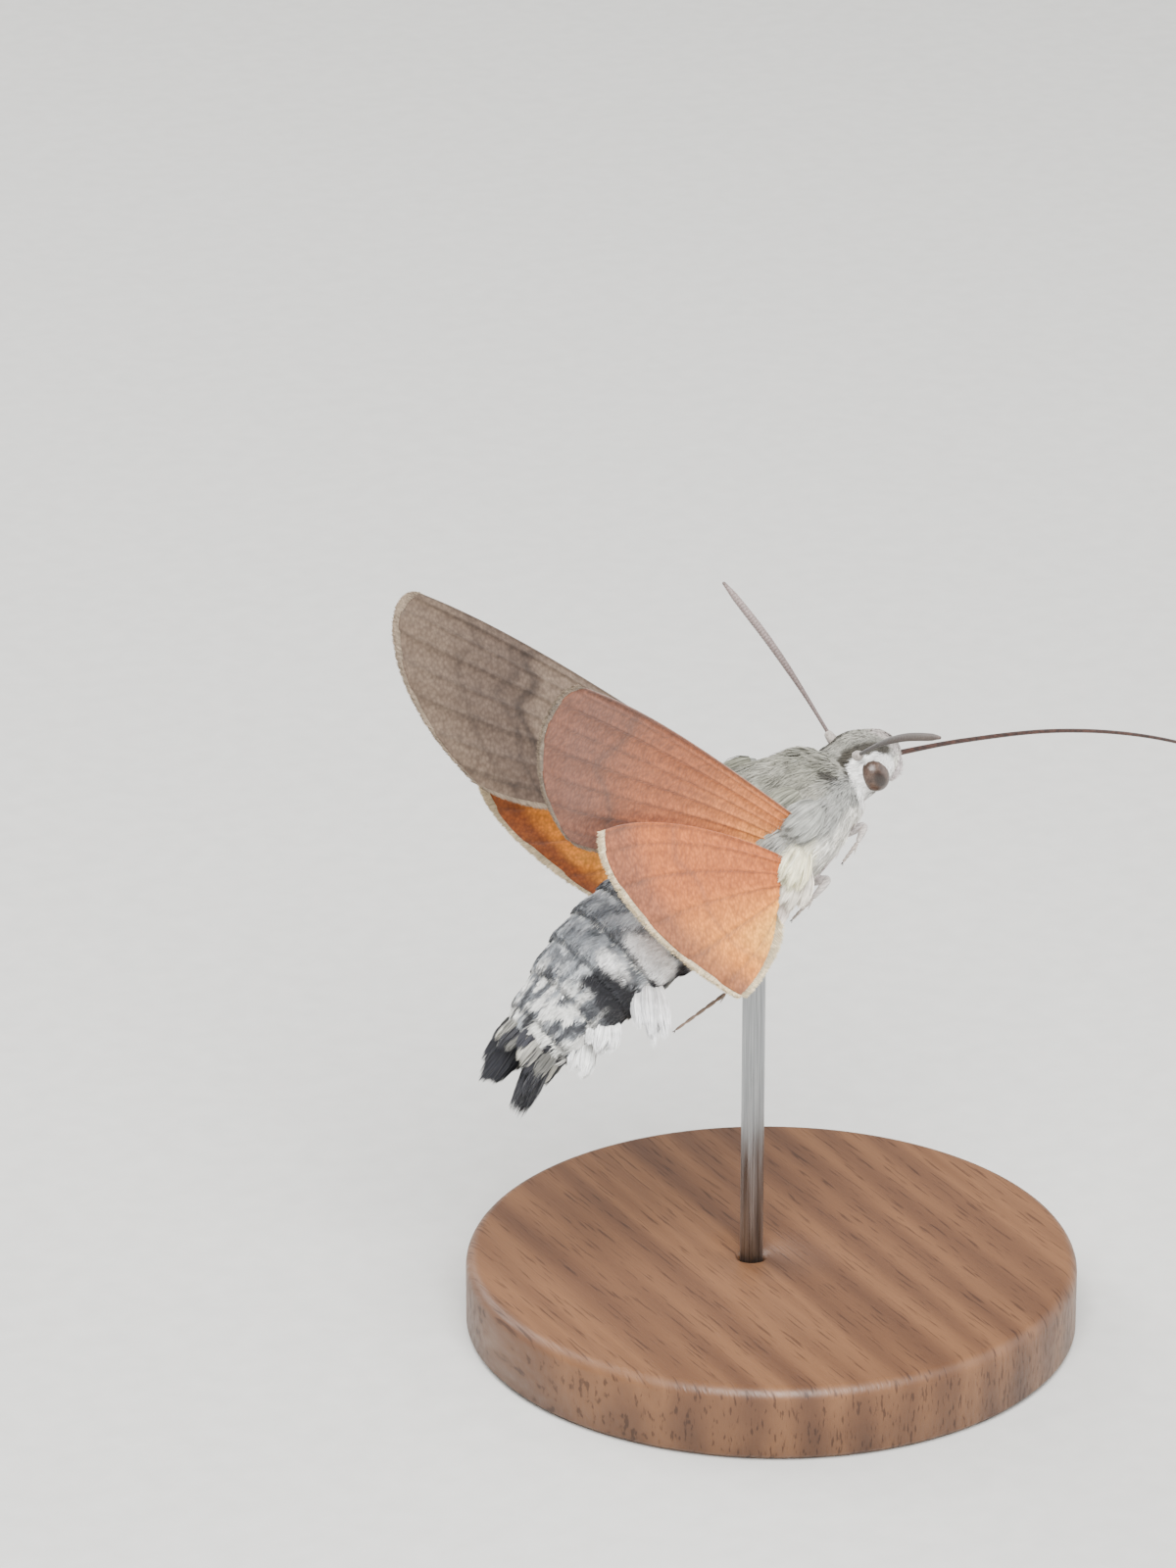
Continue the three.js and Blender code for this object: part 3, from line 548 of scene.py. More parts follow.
def brush(rng, root, lean, across, fan, locks, width, thick, hairs, hair_width, tone, side=1, blunt=0.35):
    """All the scales of one brush, as its locks' bundles side by side."""
    mirror = np.array([1, side, 1])
    root, lean, across = np.array(root) * mirror, np.array(lean) * mirror, np.array(across) * mirror
    flat = unit(across - lean * np.dot(across, lean) / np.dot(lean, lean))
    thin = np.cross(unit(lean), flat)
    made = []
    for k in range(locks):
        place = k / (locks - 1) - 0.5
        share = 1 - 0.7 * place ** 2 - 0.1 * rng.uniform()
        layer = (0.3 if k % 2 else -0.3) * thick
        start = root + flat * place * fan * 0.4 + thin * layer
        tip = root + lean * share + flat * place * fan + thin * layer * 1.4
        made.append(bundle(rng, start, tip, flat, width, thick, flat * place * fan * 0.22,
                           hairs, hair_width, tone, blunt))
    return made


def hang(name, bundles, stands_for=()):
    """Puts the bundles together as one piece, each scale with its place on the body's unwrap."""
    paths, flats, widths, tones = (np.concatenate(parts) for parts in zip(*bundles))
    root = paths[:, 0]
    place = on_unwrap(root[:, 0], np.arctan2(root[:, 2] - 0.5, root[:, 1])).clip(0.005, 0.995)
    scale_piece(name, paths, flats, widths, tones, [0.82, 0.95, 1.0, 1.05], place, stands_for)


for name, slot, tufts, seed in [("side_tufts", "dark_fur", SIDE_TUFTS, 61),
                                ("wing_base_tufts", "grey_fur", WING_TUFTS, 62)]:
    rng = np.random.default_rng(seed)
    locks = []
    for side in (1, -1):
        for root, lean, fan, count, width, tone in tufts:
            locks += brush(rng, root, lean, TUFT_ACROSS, fan, count, width, 0.5, 240, 0.085, tone, side)
    hang(name, locks)

# Tail
# The last segment carries a fan of long black scales, parted in two lobes like the tail of a
# bird, with shorter mottled locks lying over their roots.

# Root, lean, across, fan and number of locks of each lobe.
TAIL_LOBES = [
    ([-16.2, 0.95, 0.7], [-3.8, 1.35, -1.85], [0.55, 0.6, 0.55], 1.1, 5),
    ([-16.2, -0.75, 0.0], [-3.9, -0.5, -1.45], [0.2, 1.0, -0.45], 2.3, 7),
]
RUMP_LOCKS = 26
RUMP_TONES = ["#918F87", "#2C2C31", "#6E6D68", "#34343A", "#B9B6AB"]
tail_rng = np.random.default_rng(71)
tail_locks = []
for root, lean, across, fan, count in TAIL_LOBES:
    tail_locks += brush(tail_rng, root, lean, across, fan, count, 0.95, 0.55, 210, 0.12, "#26262C", 1, 0.2)
for k in range(RUMP_LOCKS):
    turn = (k + tail_rng.uniform(0.2, 0.8)) / RUMP_LOCKS * 2 * math.pi
    start = skin(-16.2 - 0.5 * tail_rng.uniform(), turn, 0.35)
    out = np.array([0.0, math.cos(turn), math.sin(turn)])
    tip = start + np.array([-1.5 - 0.5 * tail_rng.uniform(), 0, -0.3]) + out * 0.15
    tone = RUMP_TONES[k % len(RUMP_TONES)]
    tail_locks.append(bundle(tail_rng, start, tip, np.array([0.0, -out[2], out[1]]), 0.75, 0.3, out * 0.1,
                             70, 0.1, tone))
hang("tail_fan_scales", tail_locks, ["tail_fan"])

# Palps
# Two short feelers of the mouth, bent up in front of the face and clothed in close white
# scales. They are jointed to the underside of the head on either side of the tongue.

PALP_PATH = [[5.9, 0.5, -1.9], [6.7, 0.5, -1.97], [7.25, 0.42, -1.45]]
PALP_RADII = [0.22, 0.3, 0.31, 0.24, 0.1]
PALP_SCALES = 1600
HANDS = [(1, "left"), (-1, "right")]


def through(points, steps):
    """Evenly spread points along a smooth line through the given ones."""
    points = np.asarray(points, float)
    ends = np.concatenate([[2 * points[0] - points[1]], points, [2 * points[-1] - points[-2]]])
    fine = []
    for k in range(len(points) - 1):
        a, b, c, d = ends[k:k + 4]
        u = np.linspace(0, 1, 24, endpoint=k == len(points) - 2)[:, None]
        fine.append(0.5 * (2 * b + (c - a) * u + (2 * a - 5 * b + 4 * c - d) * u ** 2
                           + (3 * b - a - 3 * c + d) * u ** 3))
    fine = np.concatenate(fine)
    run = np.concatenate([[0], np.cumsum(np.linalg.norm(np.diff(fine, axis=0), axis=1))])
    at = np.linspace(0, run[-1], steps)
    return np.stack([np.interp(at, run, fine[:, axis]) for axis in range(3)], 1)


def limb(points, radii, steps, sides=20):
    """Closed tube along a smooth line, with its radius spread along it and rounded ends."""
    line = through(points, steps)
    ways = unit(np.gradient(line, axis=0))
    normal = unit(np.cross(ways[0], [0.3, 0.2, 0.9]))
    share = np.linspace(0, 1, steps)
    girth = np.interp(share, np.linspace(0, 1, len(radii)), radii)
    run = np.linalg.norm(np.diff(line, axis=0), axis=1).sum() * share
    for far in (run, run[-1] - run):
        girth = girth * np.sqrt(np.clip(1 - (1 - np.clip(far / np.maximum(girth, 0.02), 0, 1)) ** 2, 0.02, 1))
    rings = []
    for centre, way, radius in zip(line, ways, girth):
        normal = unit(normal - way * np.dot(normal, way))
        side = np.cross(way, normal)
        angle = np.linspace(0, 2 * math.pi, sides, endpoint=False)[:, None]
        rings.append(centre + radius * (np.cos(angle) * normal + np.sin(angle) * side))
    return np.array(rings), line, ways, share


for side, name in HANDS:
    rings, line, ways, share = limb(np.array(PALP_PATH) * [1, side, 1], PALP_RADII, 30)
    points, faces = loft(rings)
    piece(f"palp_{name}_skin", set_on_rod(points), faces, skin_finish, [f"palp_{name}"],
          shade("#E8E0E0"))
    rng = np.random.default_rng(80 + side)
    ring, spoke = rng.integers(0, 28, PALP_SCALES), rng.integers(0, 20, PALP_SCALES)
    root = rings[ring, spoke]
    out = unit(root - line[ring])
    way = unit(ways[ring] + rng.normal(0, 0.25, (PALP_SCALES, 3)))
    reach = rng.uniform(0.16, 0.3, PALP_SCALES)[:, None]
    paths = np.stack([root - out * 0.03, root + way * reach * 0.5 + out * 0.05,
                      root + way * reach + out * 0.07], 1)
    widths = rng.uniform(0.035, 0.06, PALP_SCALES)[:, None] * np.array([0.8, 1, 0])
    tones = shade("#EDE4E3") * (1 + rng.normal(0, 0.1, PALP_SCALES))[:, None]
    scale_piece(f"coat_palp_{name}", paths, unit(np.cross(out, way)), widths, tones,
                [0.75, 1, 1.1], on_unwrap(root[:, 0], (spoke / 20 - 0.5) * math.pi).clip(0.005, 0.995))

# Eyes
# Each compound eye is a low dome of some thousands of clear lenses over brown pigment, set
# in the side of the head. Lenses that look straight back at the viewer look black.

EYE_RADII = np.array([0.74, 0.68, 0.93])
SIDE_PUPILS = [(0.52, 0.42), (-0.62, 0.3), (-0.5, -0.5), (0.45, -0.55)]


def lens_dome():
    """Clear chitin lenses over pigment: glossy, greyish brown, with darker false pupils and a painted
    highlight on each lens.
    """
    made, tree, shader, spot = new_finish("lens_dome")
    # Lenses are about 0.025 mm across; they're drawn 0.07 mm across so that they show.
    lenses = add(tree, "TexVoronoi", "Distance", {"Vector": spot, "Scale": 1 / 0.07})
    # Each lens is painted paler in its middle than at its edge: a painted highlight on every lens.
    tone = add(tree, "ValToRGB", "Color", {"Fac": lenses}, [(0.1, "#FFFFFF"), (0.7, "#8C8078")])
    bulge = add(tree, "Math", "Value", {0: 1.0, 1: lenses}, operation="SUBTRACT")
    relief = add(tree, "Bump", "Normal", {"Height": bulge, "Distance": 0.02 * MM, "Strength": 0.5})
    connect(tree, shader, {
        "Base Color": tinted(tree, 0.6, tone), "Normal": relief, "IOR": 1.5, "Roughness": 0.3,
        "Coat Weight": 0.15, "Coat Roughness": 0.1})
    return made


lens_finish = lens_dome()
polar, turn = np.meshgrid(np.linspace(0.02, math.pi - 0.02, 48),
                          np.linspace(0, 2 * math.pi, 72, endpoint=False), indexing="ij")
ball = np.stack([np.sin(polar) * np.cos(turn), np.cos(polar), np.sin(polar) * np.sin(turn)], -1)
off_x, off_z = ball.reshape(-1, 3)[:, 0], ball.reshape(-1, 3)[:, 2]
for side, name in HANDS:
    points, faces = loft((ball * EYE_RADII + EYE) * [1, side, 1])
    tone = laid_over(
        shade("#5E4A3F"),
        ("#54423A", rise(drift(points, 0.8, 9), -0.3, 0.8) * 0.5),
        ("#1C120E", rise(np.hypot((off_x + 0.05) / 0.45, (off_z + 0.02) / 0.62), 1.35, 0.5) * 0.85),
        *[("#33241C", rise(np.hypot(off_x - x, off_z - z), 0.2, 0.1) * 0.6) for x, z in SIDE_PUPILS],
        ("#4A3C34", rise(np.hypot(off_x, off_z), 0.86, 0.97) * 0.8))
    piece(f"eye_{name}_dome", set_on_rod(points), faces, lens_finish, [f"eye_{name}"], tone)

# Feelers
# Each feeler has a stout first joint set in front of the eye and about sixty short ones that
# thicken into a slim club, mauve-grey with scales above, and end in a small hook.

FEELER_ROOT = np.array([5.3, 1.2, 0.75])
FEELER_LENGTH = 9.9
FEELER_JOINTS = 60
# Which way each feeler leans, and how far it bows that way and aside.
FEELER_LEAN = {1: ([1.3, 5.45, 8.2], [0.25, 0.1, 0.15]), -1: ([1.9, -8.6, 3.6], [0.2, 0.1, 0.35])}
FEELER_RADII = [0.15, 0.1, 0.1, 0.115, 0.145, 0.18, 0.2, 0.21, 0.215, 0.21, 0.19, 0.08]


def ringed_chitin():
    """Short joints of grey-mauve chitin: a faint dark line between one and the next."""
    made, tree, shader, spot = new_finish("ringed_chitin")
    # The dusting of scales is about 0.03 mm fine; it's drawn 0.11 mm wide so that it shows.
    dust = add(tree, "TexNoise", "Fac", {"Vector": spot, "Scale": 9.0, "Detail": 3.0})
    tone = add(tree, "ValToRGB", "Color", {"Fac": dust}, [(0.35, "#A09A98"), (0.65, "#FFFFFF")])
    relief = add(tree, "Bump", "Normal", {"Height": dust, "Distance": 0.02 * MM, "Strength": 0.7})
    connect(tree, shader, {
        "Base Color": tinted(tree, 0.6, tone), "Normal": relief, "Roughness": 0.55, "Sheen Weight": 0.2})
    return made


def jointed(rings, line, joints, depth, share):
    """A limb's rings pinched a little between its joints."""
    pinch = 1 - depth * np.abs(np.cos(np.pi * joints * share)) ** 12
    return line[:, None] + (rings - line[:, None]) * pinch[:, None, None]


feeler_finish = ringed_chitin()
for side, name in HANDS:
    lean, bend = FEELER_LEAN[side]
    lean = np.array(lean) / np.linalg.norm(lean)
    root = FEELER_ROOT * [1, side, 1]
    path = [root + lean * FEELER_LENGTH * u + np.array(bend) * math.sin(math.pi * u)
            for u in (-0.03, 0.3, 0.6, 0.9, 1)]
    rings, line, ways, share = limb(path, FEELER_RADII, 360)
    points, faces = loft(jointed(rings, line, FEELER_JOINTS, 0.12, share))
    share = np.repeat(share, 20)
    # The near feeler is painted darker than the far one: painted shade on the same mauve-grey chitin.
    stem, club = ("#6A5A56", "#8E7E7A") if side > 0 else ("#352D28", "#4E433C")
    tone = laid_over(shade(stem), (club, rise(share, 0.3, 0.9)), ("#5C4C46", rise(share, 0.95, 1.0) * 0.8))
    tone = tone * (1 - 0.3 * np.abs(np.cos(np.pi * FEELER_JOINTS * share)) ** 12)[:, None]
    piece(f"feeler_{name}", set_on_rod(points), faces, feeler_finish, [f"antenna_{name}"], tone)
    scape, *_ = limb([root - lean * 0.35, root + lean * 0.15, root + lean * 0.6], [0.2, 0.27, 0.2], 24)
    points, faces = loft(scape)
    piece(f"feeler_{name}_first_joint", set_on_rod(points), faces, feeler_finish, (),
          shade("#A59C94"))

# Tongue
# The tongue is two half-tubes of springy dark chitin zipped together along their length,
# uncoiled here, with fine rings along it. It comes out between the palps.

TONGUE_PATH = [[6.9, 0, -1.4], [7.6, 0, -1.83], [10.6, 0, -3.9], [14.6, 0, -7.1], [18.0, 0, -10.6],
               [20.8, 0, -14.4], [22.8, 0, -18.3]]
TONGUE_RADII = [0.15, 0.125, 0.115, 0.105, 0.095, 0.08, 0.05]
TONGUE_RINGS = 170  # about 0.14 mm apart, as the real ones, 0.03 mm apart, are too fine to show


def springy_chitin():
    """Dark brown chitin, satin and slightly clear: fine rings along it catch the light."""
    made, tree, shader, spot = new_finish("springy_chitin")
    # The grain between rings is drawn 0.17 mm wide so that it shows.
    grain = add(tree, "TexNoise", "Fac", {"Vector": spot, "Scale": 6.0, "Detail": 2.0})
    brown = add(tree, "ValToRGB", "Color", {"Fac": grain}, [(0.35, "#1E100C"), (0.65, "#3E241B")])
    relief = add(tree, "Bump", "Normal", {"Height": grain, "Distance": 0.02 * MM, "Strength": 0.6})
    connect(tree, shader, {"Base Color": brown, "Normal": relief, "IOR": 1.54, "Roughness": 0.34})
    return made


rings, line, ways, share = limb(TONGUE_PATH, TONGUE_RADII, 520, 24)
angle = np.linspace(0, 2 * math.pi, 24, endpoint=False)
seam = 1 - 0.16 * np.abs(np.cos(angle)) ** 6
rings = line[:, None] + (rings - line[:, None]) * seam[None, :, None]
points, faces = loft(jointed(rings, line, TONGUE_RINGS, 0.07, share))
piece("uncoiled_tongue", set_on_rod(points), faces, springy_chitin(), ["proboscis"])

# Legs
# Six thin legs, folded back along the underside as in flight: thigh and shin in white
# scales, with spurs at the heel, and a bare foot of five small joints with two claws.

LEG_JOINTS = {
    "fore": [[2.4, 0.9, -2.5], [3.6, 1.4, -2.65], [2.6, 1.9, -2.8], [1.4, 1.75, -3.2]],
    "mid": [[-0.6, 1.0, -3.1], [0.3, 2.0, -3.2], [-1.1, 2.35, -3.15], [-2.6, 2.3, -3.3]],
    "hind": [[-3.2, 1.2, -3.25], [-4.4, 3.1, -3.1], [-7.8, 3.2, -3.25], [-11.0, 3.0, -2.95]],
}
LEG_RADII = [[0.2, 0.27, 0.27, 0.2, 0.15], [0.15, 0.2, 0.19, 0.15, 0.12], [0.1, 0.1, 0.09, 0.085, 0.06]]
FOOT_JOINTS = 5

for side, hand in HANDS:
    for place, joints in LEG_JOINTS.items():
        joints = np.array(joints) * [1, side, 1]
        foot_colour = "#8A7668" if place == "hind" else "#C2B6AC"
        parts = []
        for k, (radii, colour) in enumerate(zip(LEG_RADII, ["#DDD6D2", "#D6CDC6", foot_colour])):
            rings, line, ways, share = limb(
                [joints[k], joints[k:k + 2].mean(0), joints[k + 1]], radii, 60, 14)
            parts.append((jointed(rings, line, FOOT_JOINTS, 0.4, share) if k == 2 else rings, colour))
        heel, toe = joints[2:]
        foot = unit(toe - heel)
        for start, reach, aside, thick, colour in [
                (heel, 0.6, [0, side * 0.18, -0.16], 0.05, "#C9BEB4"),
                (heel, 0.45, [0, -side * 0.15, -0.18], 0.05, "#C9BEB4"),
                (toe, 0.16, [0, 0.1, -0.05], 0.028, "#3A2820"),
                (toe, 0.16, [0, -0.1, -0.05], 0.028, "#3A2820")]:
            end = start + foot * reach + np.array(aside)
            rings, *_ = limb([start, (start + end) / 2, end], [thick, thick * 0.8, 0.012], 10, 8)
            parts.append((rings, colour))
        points, faces, tones = [], [], []
        for rings, colour in parts:
            part, part_faces = loft(rings)
            faces += [[corner + len(points) for corner in face] for face in part_faces]
            points += part.tolist()
            tones += [shade(colour)] * len(part)
        piece(f"leg_{place}_{hand}_scaled", set_on_rod(points), faces, skin_finish,
              [f"leg_{place}_{hand}"], tones)

# Wings
# Each wing is two clear films pressed together over stiff veins and tiled with powdery
# scales on both faces. A fringe of longer scales edges it, and its root is under the coat.

# Outlines are in shares of length and width, out from the root and back from the front edge.
FOREWING = dict(
    length=20.8, width=7.4, root=[0.2, 3.0, 1.1], twist=7, droop=1.0, camber=0.25,
    veins=[0.1, 0.24, 0.38, 0.52, 0.66, 0.8, 0.92],
    front=[[0, -0.07], [0.34, -0.12], [0.7, -0.2], [0.97, -0.1]],
    rear=[[0, 0.26], [0.2, 0.4], [0.44, 0.86], [0.625, 0.86]],
    tip=[[0.97, -0.1], [1.06, 0.02], [0.95, 0.62], [0.625, 0.86]])
HINDWING = dict(
    length=13.0, width=7.4, root=[-2.2, 3.95, 0.45], twist=-25, droop=0.0, camber=0.2,
    veins=[0.14, 0.34, 0.54, 0.74, 0.9],
    front=[[0, -0.14], [0.3, -0.2], [0.75, -0.18], [0.97, 0.05]],
    rear=[[-0.02, 0.22], [-0.06, 0.42], [-0.02, 0.68], [0.085, 0.86]],
    tip=[[0.97, 0.05], [0.97, 0.36], [0.5, 0.74], [0.085, 0.86]])
# How far each wing is raised and swept back, in degrees.
WING_ANGLES = {("fore", "left"): (78, 20), ("fore", "right"): (77, 18),
               ("hind", "left"): (79.5, 31), ("hind", "right"): (79.5, 28)}
FILM = 0.09  # half the thickness of film and scales together
VEIN_HEIGHT = 0.1
FRINGE_SCALES = 5200
ALONG, OVER = 110, 84  # points of the mesh from root to tip and from front to rear


def edge_line(plan, which, u):
    """Point of one edge of the wing's outline, a curve of four points."""
    a, b, c, d = np.array(plan[which]) * [plan["length"], plan["width"]]
    u = np.asarray(u, float)[..., None]
    return (1 - u) ** 3 * a + 3 * u * (1 - u) ** 2 * b + 3 * u * u * (1 - u) * c + u ** 3 * d


def wing_plan(plan, along, over):
    """Point of the flat wing, spread between its four edges."""
    u, v = along[..., None], over[..., None]
    root = edge_line(plan, "front", 0 * along) * (1 - v) + edge_line(plan, "rear", 0 * along) * v
    outer = edge_line(plan, "tip", 0 * over) * (1 - v) + edge_line(plan, "tip", 0 * over + 1) * v
    corners = root * (1 - u) + outer * u
    sides = edge_line(plan, "front", along) * (1 - v) + edge_line(plan, "rear", along) * v
    ends = root * (1 - u) + edge_line(plan, "tip", over) * u
    return sides + ends - corners


def wing_point(plan, side, dihedral, sweep, along, over, lift=0.0):
    """Point of the wing; lift is how far it stands off the middle of the film."""
    d, s, t = map(math.radians, (dihedral, sweep, plan["twist"]))
    span = np.array([-math.sin(s), side * math.cos(d) * math.cos(s), math.sin(d) * math.cos(s)])
    level = np.array([-math.cos(s), -side * math.cos(d) * math.sin(s), -math.sin(d) * math.sin(s)])
    upper = np.cross(span, level) * side
    chord = level * math.cos(t) + upper * math.sin(t)
    normal = np.cross(span, chord) * side
    flat = wing_plan(plan, along, over)
    out = flat[..., 0] / plan["length"]
    height = (plan["camber"] * np.sin(np.pi * over) * np.sin(np.pi * np.minimum(along, 0.9))
              - plan["droop"] * out ** 2 + lift)
    root = np.array(plan["root"]) * [1, side, 1]
    return root + span * flat[..., :1] + chord * flat[..., 1:2] + normal * height[..., None]


# Place and width along the wing, and strength, of each dark bar on the forewing's upper side.
FOREWING_BARS = [(0.2, 0.014, 0.7), (0.32, 0.018, 0.9), (0.36, 0.01, 0.5), (0.62, 0.018, 0.9),
                 (0.67, 0.012, 0.6), (0.8, 0.012, 0.4)]


def wavy_bar(a, over, place, width):
    """1 along the middle of a bar across the forewing, and fading over its width."""
    middle = place + 0.018 * np.sin(over * 17 + place * 9) + 0.05 * (over - 0.5) ** 2
    return np.exp(-((a - middle) / width) ** 2)


def forewing_colour(along, over, spots, upper):
    """Grey-brown above with dark wavy bars, rusty brown below and yellower at the root."""
    a = along + drift(spots, 3.2, 11) * 0.02
    if upper:
        c = laid_over(
            shade("#5A4A3F"),
            ("#766556", rise(a, 0.3, 0.42) * rise(a, 0.66, 0.56) * 0.8),
            ("#6B5A4B", rise(a, 0.72, 0.95) * 0.8),
            *[("#3B2F27", wavy_bar(a, over, place, width) * strength)
              for place, width, strength in FOREWING_BARS],
            ("#2A211C", rise(np.hypot((a - 0.47) * 20.8, (over - 0.3) * 7), 0.5, 0.3)),
            ("#5A4A3E", rise(over, 0.12, 0.0) * 0.6))
    else:
        c = laid_over(
            shade("#AE6338"),
            ("#DE8540", rise(a, 0.5, 0.15) * 0.9),
            ("#F2A048", rise(a, 0.25, 0.05) * rise(over, 0.3, 0.7) * 0.8),
            ("#7A5040", rise(a, 0.45, 0.85) * 0.85),
            ("#5F463C", np.exp(-((a - 0.72 - 0.02 * np.sin(over * 15)) / 0.018) ** 2) * 0.5),
            ("#6E4E40", rise(over, 0.1, 0.0) * 0.5))
    return c * (1 + 0.06 * drift(spots, 0.5, 12))[..., None]


def hindwing_colour(along, over, spots, upper):
    """Bright orange with a brown border and painted highlights above, yellower by the body and duller below.
    """
    a = along + drift(spots, 2.4, 13) * 0.03
    if upper:
        c = laid_over(
            shade("#FF9A30"),
            # Paler orange patches laid at random over the upper side are painted highlights.
            ("#FFB650", rise(drift(spots, 2.0, 15), -0.2, 0.8) * 0.5),
            ("#8C4420", rise(a, 0.8, 0.93) * 0.9),
            ("#6E4A34", rise(a, 0.18, 0.02) * rise(over, 0.6, 0.2) * 0.7),
            ("#B58A52", rise(over, 0.86, 1.0) * 0.5))
    else:
        c = laid_over(
            shade("#C46A2E"),
            ("#F29634", rise(over, 0.4, 0.85) * 0.9),
            ("#FFBE58", rise(over, 0.7, 1.0) * rise(a, 0.75, 0.3) * 0.85),
            ("#8A5740", rise(a, 0.68, 0.95) * 0.8),
            ("#7C5240", np.exp(-((a - 0.6 - 0.02 * np.sin(over * 11)) / 0.02) ** 2) * 0.35))
    return c * (1 + 0.06 * drift(spots, 0.5, 14))[..., None]


def powdered_film():
    """Film tiled with powdery scales: matt, and finely grained in rows."""
    made, tree, shader, spot = new_finish("powdered_film")
    # Scales are about 0.08 mm across; they're drawn 0.16 mm across so that they show.
    rows = add(tree, "Mapping", "Vector", {"Vector": spot, "Scale": (1, 1, 0.7)})
    tiles = add(tree, "TexVoronoi", "Distance", {"Vector": rows, "Scale": 1 / 0.16})
    powder = add(tree, "TexNoise", "Fac", {"Vector": spot, "Scale": 3.0, "Detail": 5.0})
    tile = add(tree, "ValToRGB", "Color", {"Fac": tiles}, [(0.2, "#FFFFFF"), (0.8, "#A89E98")])
    dust = add(tree, "ValToRGB", "Color", {"Fac": powder}, [(0.35, "#C2BAB4"), (0.65, "#FFFFFF")])
    colour = add(tree, "Mix", "Result", {
        "Factor": 0.6, "A": tinted(tree, 0.55, tile), "B": dust}, **MULTIPLY)
    rough = add(tree, "MapRange", "Result", {
        "Value": powder, "From Min": 0.3, "From Max": 0.7, "To Min": 0.6, "To Max": 0.8})
    relief = add(tree, "Bump", "Normal", {"Height": tiles, "Distance": 0.03 * MM, "Strength": 0.5})
    connect(tree, shader, {
        "Base Color": colour, "Roughness": rough, "Normal": relief, "Sheen Weight": 0.2,
        "Sheen Roughness": 0.5, "Specular IOR Level": 0.3})
    return made


def fringe(name, wing, seed, downy_edge, colour):
    """Short scales along the outer and the rear edge of a wing, which is its plan, side and angles."""
    rng = np.random.default_rng(seed)
    on_tip = rng.uniform(size=FRINGE_SCALES) < 0.62
    u = rng.uniform(size=FRINGE_SCALES)
    along = np.where(on_tip, 1.0, 0.04 + 0.96 * u)
    over = np.where(on_tip, u, 1.0)
    start = wing_point(*wing, along, over, rng.uniform(-0.05, 0.05, FRINGE_SCALES))
    inner = wing_point(*wing, along - np.where(on_tip, 0.02, 0), over - np.where(on_tip, 0, 0.04))
    beside = wing_point(*wing, along - np.where(on_tip, 0, 0.02), over - np.where(on_tip, 0.02, 0))
    margin = unit(beside - start)
    way = unit(unit(start - inner) + margin * rng.normal(0, 0.12, FRINGE_SCALES)[:, None])
    # The hindwing's inner edge has long hairs that lie over towards the body.
    downy = np.where(on_tip, 0, rise(along, 0.75, 0.2)) * downy_edge
    way = unit(way + margin * (0.5 * downy * rng.normal(0.3, 0.5, FRINGE_SCALES))[:, None])
    reach = 0.26 + 0.26 * rng.uniform(size=FRINGE_SCALES) + 0.4 * downy * rng.uniform(size=FRINGE_SCALES)
    reach = reach[:, None]
    start = start - way * 0.12
    drop = unit(np.cross(way, margin)) * rng.normal(0, 0.05, FRINGE_SCALES)[:, None]
    paths = np.stack([start, start + way * reach * 0.6, start + way * reach + drop], 1)
    widths = rng.uniform(0.05, 0.09, FRINGE_SCALES)[:, None] * np.array([0.8, 1, 0])
    tones = shade(colour) * (1 + rng.normal(0, 0.16, FRINGE_SCALES))[:, None]
    scale_piece(name, paths, margin, widths, tones, [0.75, 1, 1.15],
                0.01 + 0.98 * np.stack([along, over], -1))


film_finish = powdered_film()
along, over = np.meshgrid(np.linspace(0, 1, ALONG), np.linspace(0, 1, OVER), indexing="ij")
grid = np.arange(ALONG * OVER).reshape(ALONG, OVER)
quads = np.stack([grid[:-1, :-1], grid[:-1, 1:], grid[1:, 1:], grid[1:, :-1]], -1).reshape(-1, 4)
rim = np.concatenate([grid[0, :-1], grid[:-1, -1], grid[-1, :0:-1], grid[:0:-1, 0]])
walls = np.stack([rim, np.roll(rim, -1), np.roll(rim, -1) + ALONG * OVER, rim + ALONG * OVER], -1)
film_faces = quads.tolist() + (quads[:, ::-1] + ALONG * OVER).tolist() + walls.tolist()
for kind, plan, colour_of, slot, edging in [
        ("fore", FOREWING, forewing_colour, "forewing_brown", "#8C7B68"),
        ("hind", HINDWING, hindwing_colour, "hindwing_orange", "#DCC9A4")]:
    veins = np.array([0.015, *plan["veins"]])
    to_vein = np.abs(over[..., None] - veins).min(-1)
    ridge = VEIN_HEIGHT * np.exp(-(to_vein / 0.014) ** 2) * rise(along, 1.02, 0.9)
    between = np.interp(over, np.append(veins, 1), np.arange(len(veins) + 1))
    pleat = 0.07 * np.sin(np.pi * between) * (0.25 + along * 0.75).clip(0, 1) * rise(along, 0.05, 0.3)
    film = ridge + FILM * np.minimum(1, 0.25 + 8 * np.minimum(np.minimum(over, 1 - over), 1 - along))
    spots = wing_point(plan, 1, *WING_ANGLES["fore", "left"], along, over)
    dark_veins = (1 - 0.25 * np.exp(-(to_vein / 0.012) ** 2))[..., None]
    scales = np.concatenate([colour_of(along, over, spots, upper) * dark_veins for upper in (True, False)])
    for side, hand in HANDS:
        wing = plan, side, *WING_ANGLES[kind, hand]
        points = np.concatenate([wing_point(*wing, along, over, pleat + up * film) for up in (1, -1)])
        piece(f"{kind}wing_{hand}_film", set_on_rod(points.reshape(-1, 3)), film_faces, film_finish,
              [f"{kind}wing_{hand}"], scales.reshape(-1, 3))
        fringe(f"{kind}wing_{hand}_fringe", wing, 90 + side, kind == "hind", edging)

# Table, light and camera
# A pale matt table top under a large softbox, with the camera where the photograph's was:
# behind the moth's right side and a little above it.

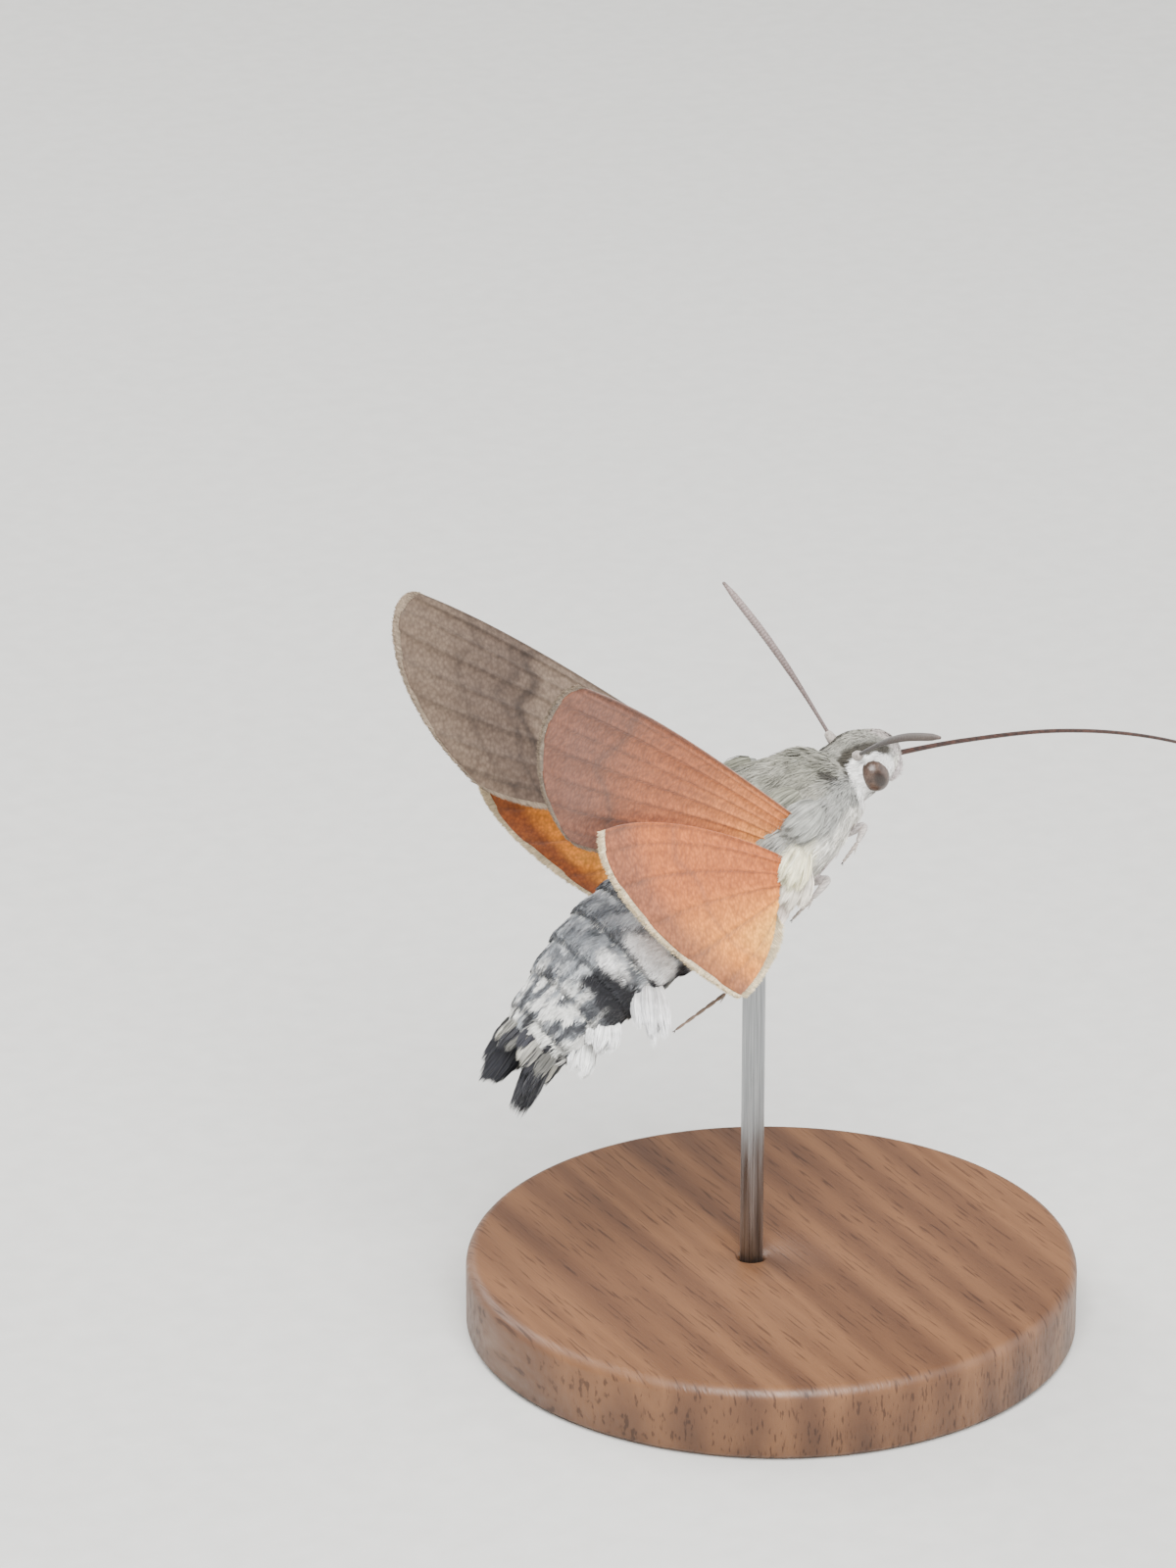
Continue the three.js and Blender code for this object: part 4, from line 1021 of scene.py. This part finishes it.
CAMERA_TURN = math.radians(28)
CAMERA_RISE = math.radians(22)
CAMERA_DISTANCE = 340
CAMERA_LENS = 153
AIM_RIGHT, AIM_UP = -9.6, 2.2  # where the camera aims, from the moth's own origin


def matt_board():
    """Pale painted board: even and matt, with a faint roller texture."""
    made, tree, shader, spot = new_finish("matt_board")
    # The roller leaves bumps about 1.7 mm across.
    roller = add(tree, "TexNoise", "Fac", {"Vector": spot, "Scale": 0.6, "Detail": 3.0})
    white = add(tree, "ValToRGB", "Color", {"Fac": roller}, [(0.3, "#C2C1BD"), (0.7, "#C8C7C3")])
    relief = add(tree, "Bump", "Normal", {"Height": roller, "Distance": 0.02 * MM, "Strength": 0.3})
    connect(tree, shader, {"Base Color": white, "Normal": relief, "Roughness": 0.9})
    return made


def put_up(name, data):
    """One object in the scene that isn't part of the model."""
    made = bpy.data.objects.new(name, data)
    bpy.context.scene.collection.objects.link(made)
    return made


board = bpy.data.meshes.new("table_top")
board.from_pydata([(-3, -3, 0), (3, -3, 0), (3, 3, 0), (-3, 3, 0)], [], [[0, 1, 2, 3]])
board.materials.append(matt_board())
put_up("table_top", board)

right = Vector((math.cos(CAMERA_TURN), -math.sin(CAMERA_TURN), 0))
to_camera = Vector((-math.sin(CAMERA_TURN) * math.cos(CAMERA_RISE),
                    -math.cos(CAMERA_TURN) * math.cos(CAMERA_RISE), math.sin(CAMERA_RISE)))
up = to_camera.cross(right)
aim = Vector((0, 0, HOVER)) + right * AIM_RIGHT + up * AIM_UP
camera = put_up("camera", bpy.data.cameras.new("camera"))
camera.matrix_world = (Matrix.Translation((aim + to_camera * CAMERA_DISTANCE) * MM)
                       @ Matrix((right, up, to_camera)).transposed().to_4x4())
camera.data.lens = CAMERA_LENS
camera.data.clip_start = 0.01
bpy.context.scene.camera = camera

# Direction, distance and size in metres, and power in watts.
for name, way, distance, size, power in [
        ("softbox", (-0.35, -0.75, 1.0), 0.55, 0.4, 10.0),
        ("fill", (1.0, -0.35, 0.45), 0.6, 0.6, 2.6),
        ("back", (-0.5, 1.0, 0.8), 0.6, 0.4, 3.4)]:
    lamp = put_up(name, bpy.data.lights.new(name, "AREA"))
    lamp.data.size = size
    lamp.data.energy = power
    place = Vector(way).normalized() * distance
    facing = place.to_track_quat("Z", "Y").to_matrix().to_4x4()
    lamp.matrix_world = Matrix.Translation(place + Vector((0, 0, 0.03))) @ facing

sky = bpy.data.worlds.new("soft_room")
sky.use_nodes = True
connect(sky.node_tree, sky.node_tree.nodes["Background"], {"Color": paint("#E4E5E6"), "Strength": 0.68})
bpy.context.scene.world = sky
